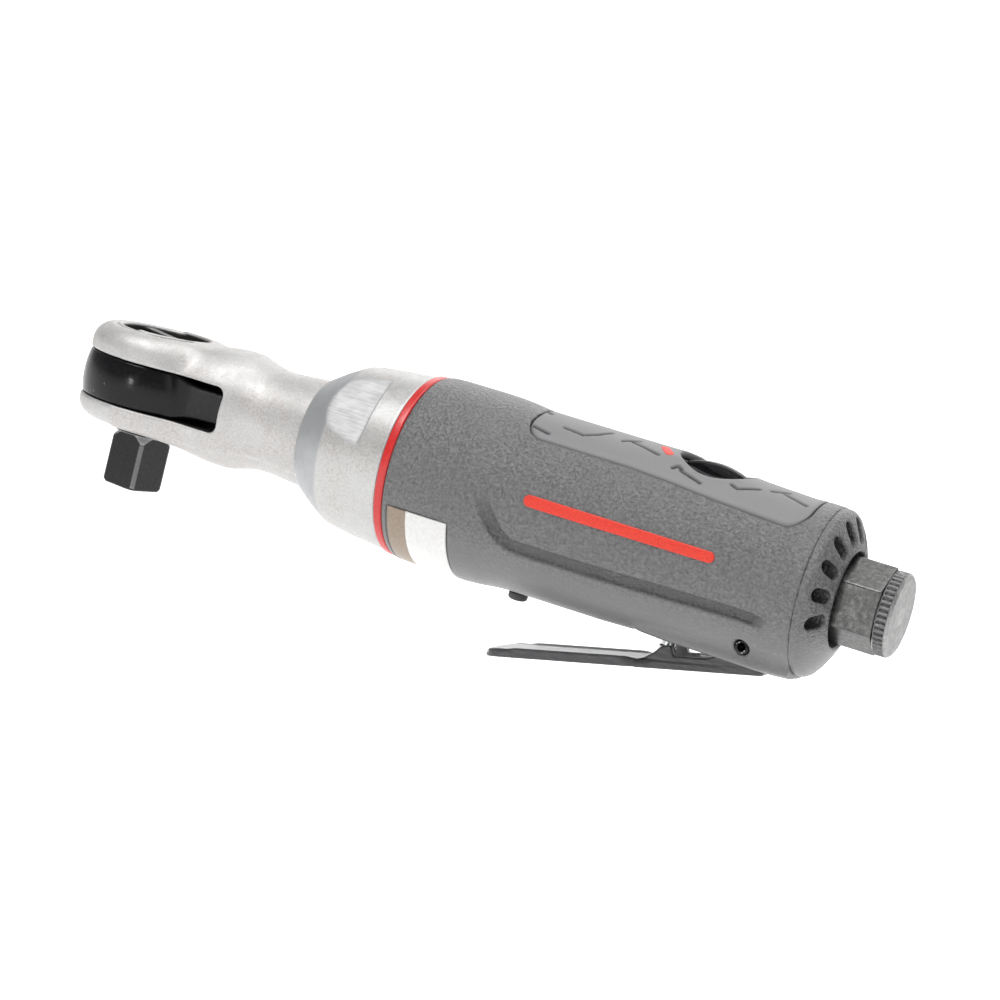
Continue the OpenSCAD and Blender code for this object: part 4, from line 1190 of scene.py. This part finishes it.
def resin(name, low, high, scale=0.9, bump=0.05, stretched=(1, 1, 1), rough=(0.5, 0.7), sheen=0.0):
    p = Paint(name, roughness=0.6, specular=0.4, sheen=sheen)
    weave = p.noise(scale, 4, 0.65, vector=p.stretch(*stretched))
    base = p.ramp(weave, [(0.3, low), (0.7, high)])
    p.worn(base, 0.54, 0.64, 0.4, tuple(min(1, v * 1.6) for v in high))
    p.rough(weave, *rough)
    p.bump(weave, bump, 0.6)
    return p.material


def film():
    """Blank label: a tan strip, then white."""
    p = Paint("blank_label", roughness=0.4, specular=0.45)
    fibre = p.noise(1.4, 3, 0.6)
    white = p.ramp(fibre, [(0.3, (0.54, 0.537, 0.526)), (0.7, (0.63, 0.627, 0.616))])
    tan = p.ramp(fibre, [(0.3, (0.20, 0.155, 0.115)), (0.7, (0.26, 0.205, 0.155))])
    base = p.over(tan, p.spread(p.part("X"), 73.15, 73.25), white)
    p.colour(base)
    p.rough(fibre, 0.32, 0.46)
    p.bump(fibre, 0.012, 0.4)
    return p.material


def put(obj, material):
    obj.data.materials.clear()
    obj.data.materials.append(material)


CAST, NUT, COMPOSITE, GRIP = cast_metal(), nut_metal(), composite(), grip_rubber()
RED, MARK, GLOSS, OXIDE = red_plastic(), red_marking(), gloss_black(), oxide_steel()
STEEL_DARK, CAP_METAL, LEVER, FILM = dark_steel(), plated_cap(), lever_paint(), film()
PLASTIC_BLACK = gloss_black("regulator_plastic", 0.28, (0.006, 0.006, 0.007), 0.18)
KNOB_BLACK = gloss_black("knob_oxide", 0.22, (0.003, 0.003, 0.0035), 0.12)
GROUND = machined("ground_steel", (0.50, 0.505, 0.51), (0.70, 0.705, 0.71), (0.15, 0.3))
GEAR = machined("gear_steel_oiled", (0.26, 0.265, 0.275), (0.40, 0.405, 0.41), (0.2, 0.38))
ALUMINIUM = machined("machined_alloy", (0.46, 0.465, 0.47), (0.62, 0.625, 0.63), (0.3, 0.45))
BRONZE = machined("turned_bronze", (0.42, 0.28, 0.12), (0.60, 0.43, 0.21), (0.25, 0.4))
SCREEN = machined("screen_wire", (0.45, 0.45, 0.44), (0.65, 0.65, 0.64), (0.3, 0.45), (2.5, 2.5, 2.5))
FELT = resin("sintered_felt", (0.020, 0.019, 0.017), (0.055, 0.052, 0.046), 2.2, 0.25,
             rough=(0.85, 0.98), sheen=0.1)
VANE = resin("fibre_resin", (0.22, 0.115, 0.045), (0.36, 0.20, 0.085), 1.2, 0.05, (0.3, 2, 2))
SEAT = resin("seat_resin", (0.030, 0.028, 0.024), (0.055, 0.050, 0.042), 1.5, 0.03)
RUBBER = resin("moulded_rubber", (0.030, 0.030, 0.031), (0.065, 0.065, 0.066), 2.0, 0.04)

for piece, material in (
    (head, CAST), (spindle, OXIDE), (knob, KNOB_BLACK), (yoke, GLOSS), (nut, NUT), (ring, RED),
    (shell, COMPOSITE), (spigot, COMPOSITE), (panel, GRIP), (label, FILM), (exhaust, COMPOSITE),
    (bushing, STEEL_DARK), (dust_cap, CAP_METAL), (lever, LEVER), (pin, OXIDE), (bumper, RUBBER),
    (stem, GROUND), (regulator, PLASTIC_BLACK),
):
    put(piece, material)
for side_name in ("side_bar_near", "side_bar_far"):
    put(bpy.data.objects[side_name], MARK)
put(red_arc, MARK)

# Nodes of the frame that keep their CAD shape, by material.
KEPT = (
    (FELT, ("muffler_felt",)),
    (ALUMINIUM, ("throttle_body", "front_end_plate", "rear_end_plate", "motor_cylinder")),
    (SCREEN, ("inlet_screen",)),
    (GEAR, ("ring_gear", "rotor", "crankshaft", "planet_gear_1", "planet_gear_2", "planet_gear_3",
            "ratchet_pawl")),
    (BRONZE, ("crank_bearing", "crank_bush")),
    (GROUND, ("cylinder_dowel", "front_bearing_outer", "rear_bearing_outer", "valve_spring",
              "front_bearing_inner", "rear_bearing_inner", "front_bearing_balls", "rear_bearing_balls",
              "planet_pins", "pawl_pin", "detent_ball", "knob_plunger")),
    (SEAT, ("valve_seat", "valve_poppet")),
    (OXIDE, ("spindle_retaining_ring",)),
    (VANE, ("rotor_vanes",)),
    (RUBBER, ("regulator_seal",)),
)
for material, node_names in KEPT:
    for node_name in node_names:
        put(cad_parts[node_name], material)

# ---------------------------------------------------------------- floor, light and camera


def backdrop():
    """Pale floor that curves up into a wall far behind the tool."""
    profile = [(-3.0, 0.0), (1.2, 0.0)]
    profile += [(1.2 + 0.8 * math.sin(a), 0.8 - 0.8 * math.cos(a)) for a in np.linspace(0.1, math.pi / 2, 12)]
    profile += [(2.0, 3.5)]
    verts, faces = [], []
    for side in (-3.5, 3.5):
        verts += [(side, y, z - 0.075) for y, z in profile]
    n = len(profile)
    for i in range(n - 1):
        faces.append([i, n + i, n + i + 1, i + 1])
    mesh = bpy.data.meshes.new("floor")
    mesh.from_pydata(verts, [], faces)
    mesh.polygons.foreach_set("use_smooth", [True] * len(mesh.polygons))
    obj = bpy.data.objects.new("floor", mesh)
    bpy.context.scene.collection.objects.link(obj)
    p = Paint("pale_floor", roughness=0.8, specular=0.1)
    p.shader.inputs["Base Color"].default_value = (0.85, 0.85, 0.85, 1)
    p.shader.inputs["Emission Color"].default_value = (1, 1, 1, 1)
    p.shader.inputs["Emission Strength"].default_value = 0.55
    put(obj, p.material)
    return obj


floor = backdrop()


def lamp(name, place, aim, size, power, colour=(1, 1, 1)):
    data = bpy.data.lights.new(name, "AREA")
    data.shape = "RECTANGLE"
    data.size, data.size_y = size
    data.energy = power
    data.color = colour
    obj = bpy.data.objects.new(name, data)
    bpy.context.scene.collection.objects.link(obj)
    obj.location = place
    obj.rotation_euler = (Vector(aim) - Vector(place)).to_track_quat("-Z", "Y").to_euler()
    return obj


MIDDLE = (0.085, 0, 0.01)
lamp("key", (-0.25, -0.55, 0.95), MIDDLE, (0.45, 0.4), 8)
lamp("top", (0.15, 0.0, 1.0), MIDDLE, (0.9, 0.5), 6)
lamp("side", (0.95, -0.55, 0.35), MIDDLE, (0.6, 0.7), 1.5)
lamp("back", (0.0, 0.9, 0.6), MIDDLE, (1.2, 0.6), 3)
lamp("spark", (-0.156, -0.88, 0.0), MIDDLE, (0.022, 0.022), 0.6)

world = bpy.data.worlds.new("studio")
bpy.context.scene.world = world
world.use_nodes = True
world.node_tree.nodes["Background"].inputs["Color"].default_value = (1, 1, 1, 1)
world.node_tree.nodes["Background"].inputs["Strength"].default_value = 0.30

# The camera stands about 0.65 m away, turned to the tool's near side and rolled.
CAMERA_AT = (0.309548, -0.570890, 0.097204)
AZIMUTH, ELEVATION, ROLL = (math.radians(v) for v in (21.44, 7.99, 14.33))
right = Vector((math.cos(AZIMUTH), math.sin(AZIMUTH), 0))
level = Vector((math.sin(AZIMUTH), -math.cos(AZIMUTH), 0))
back = level * math.cos(ELEVATION) + Vector((0, 0, math.sin(ELEVATION)))
up = back.cross(right)
right, up = (right * math.cos(ROLL) + up * math.sin(ROLL), up * math.cos(ROLL) - right * math.sin(ROLL))
camera_data = bpy.data.cameras.new("camera")
camera_data.sensor_width = 36
camera_data.lens = 106.83
camera_data.clip_start, camera_data.clip_end = 0.01, 20
camera = bpy.data.objects.new("camera", camera_data)
bpy.context.scene.collection.objects.link(camera)
camera.matrix_world = Matrix.Translation(CAMERA_AT) @ Matrix((right, up, back)).transposed().to_4x4()
bpy.context.scene.camera = camera
bpy.context.scene.view_settings.view_transform = "Standard"
bpy.context.scene.view_settings.look = "None"
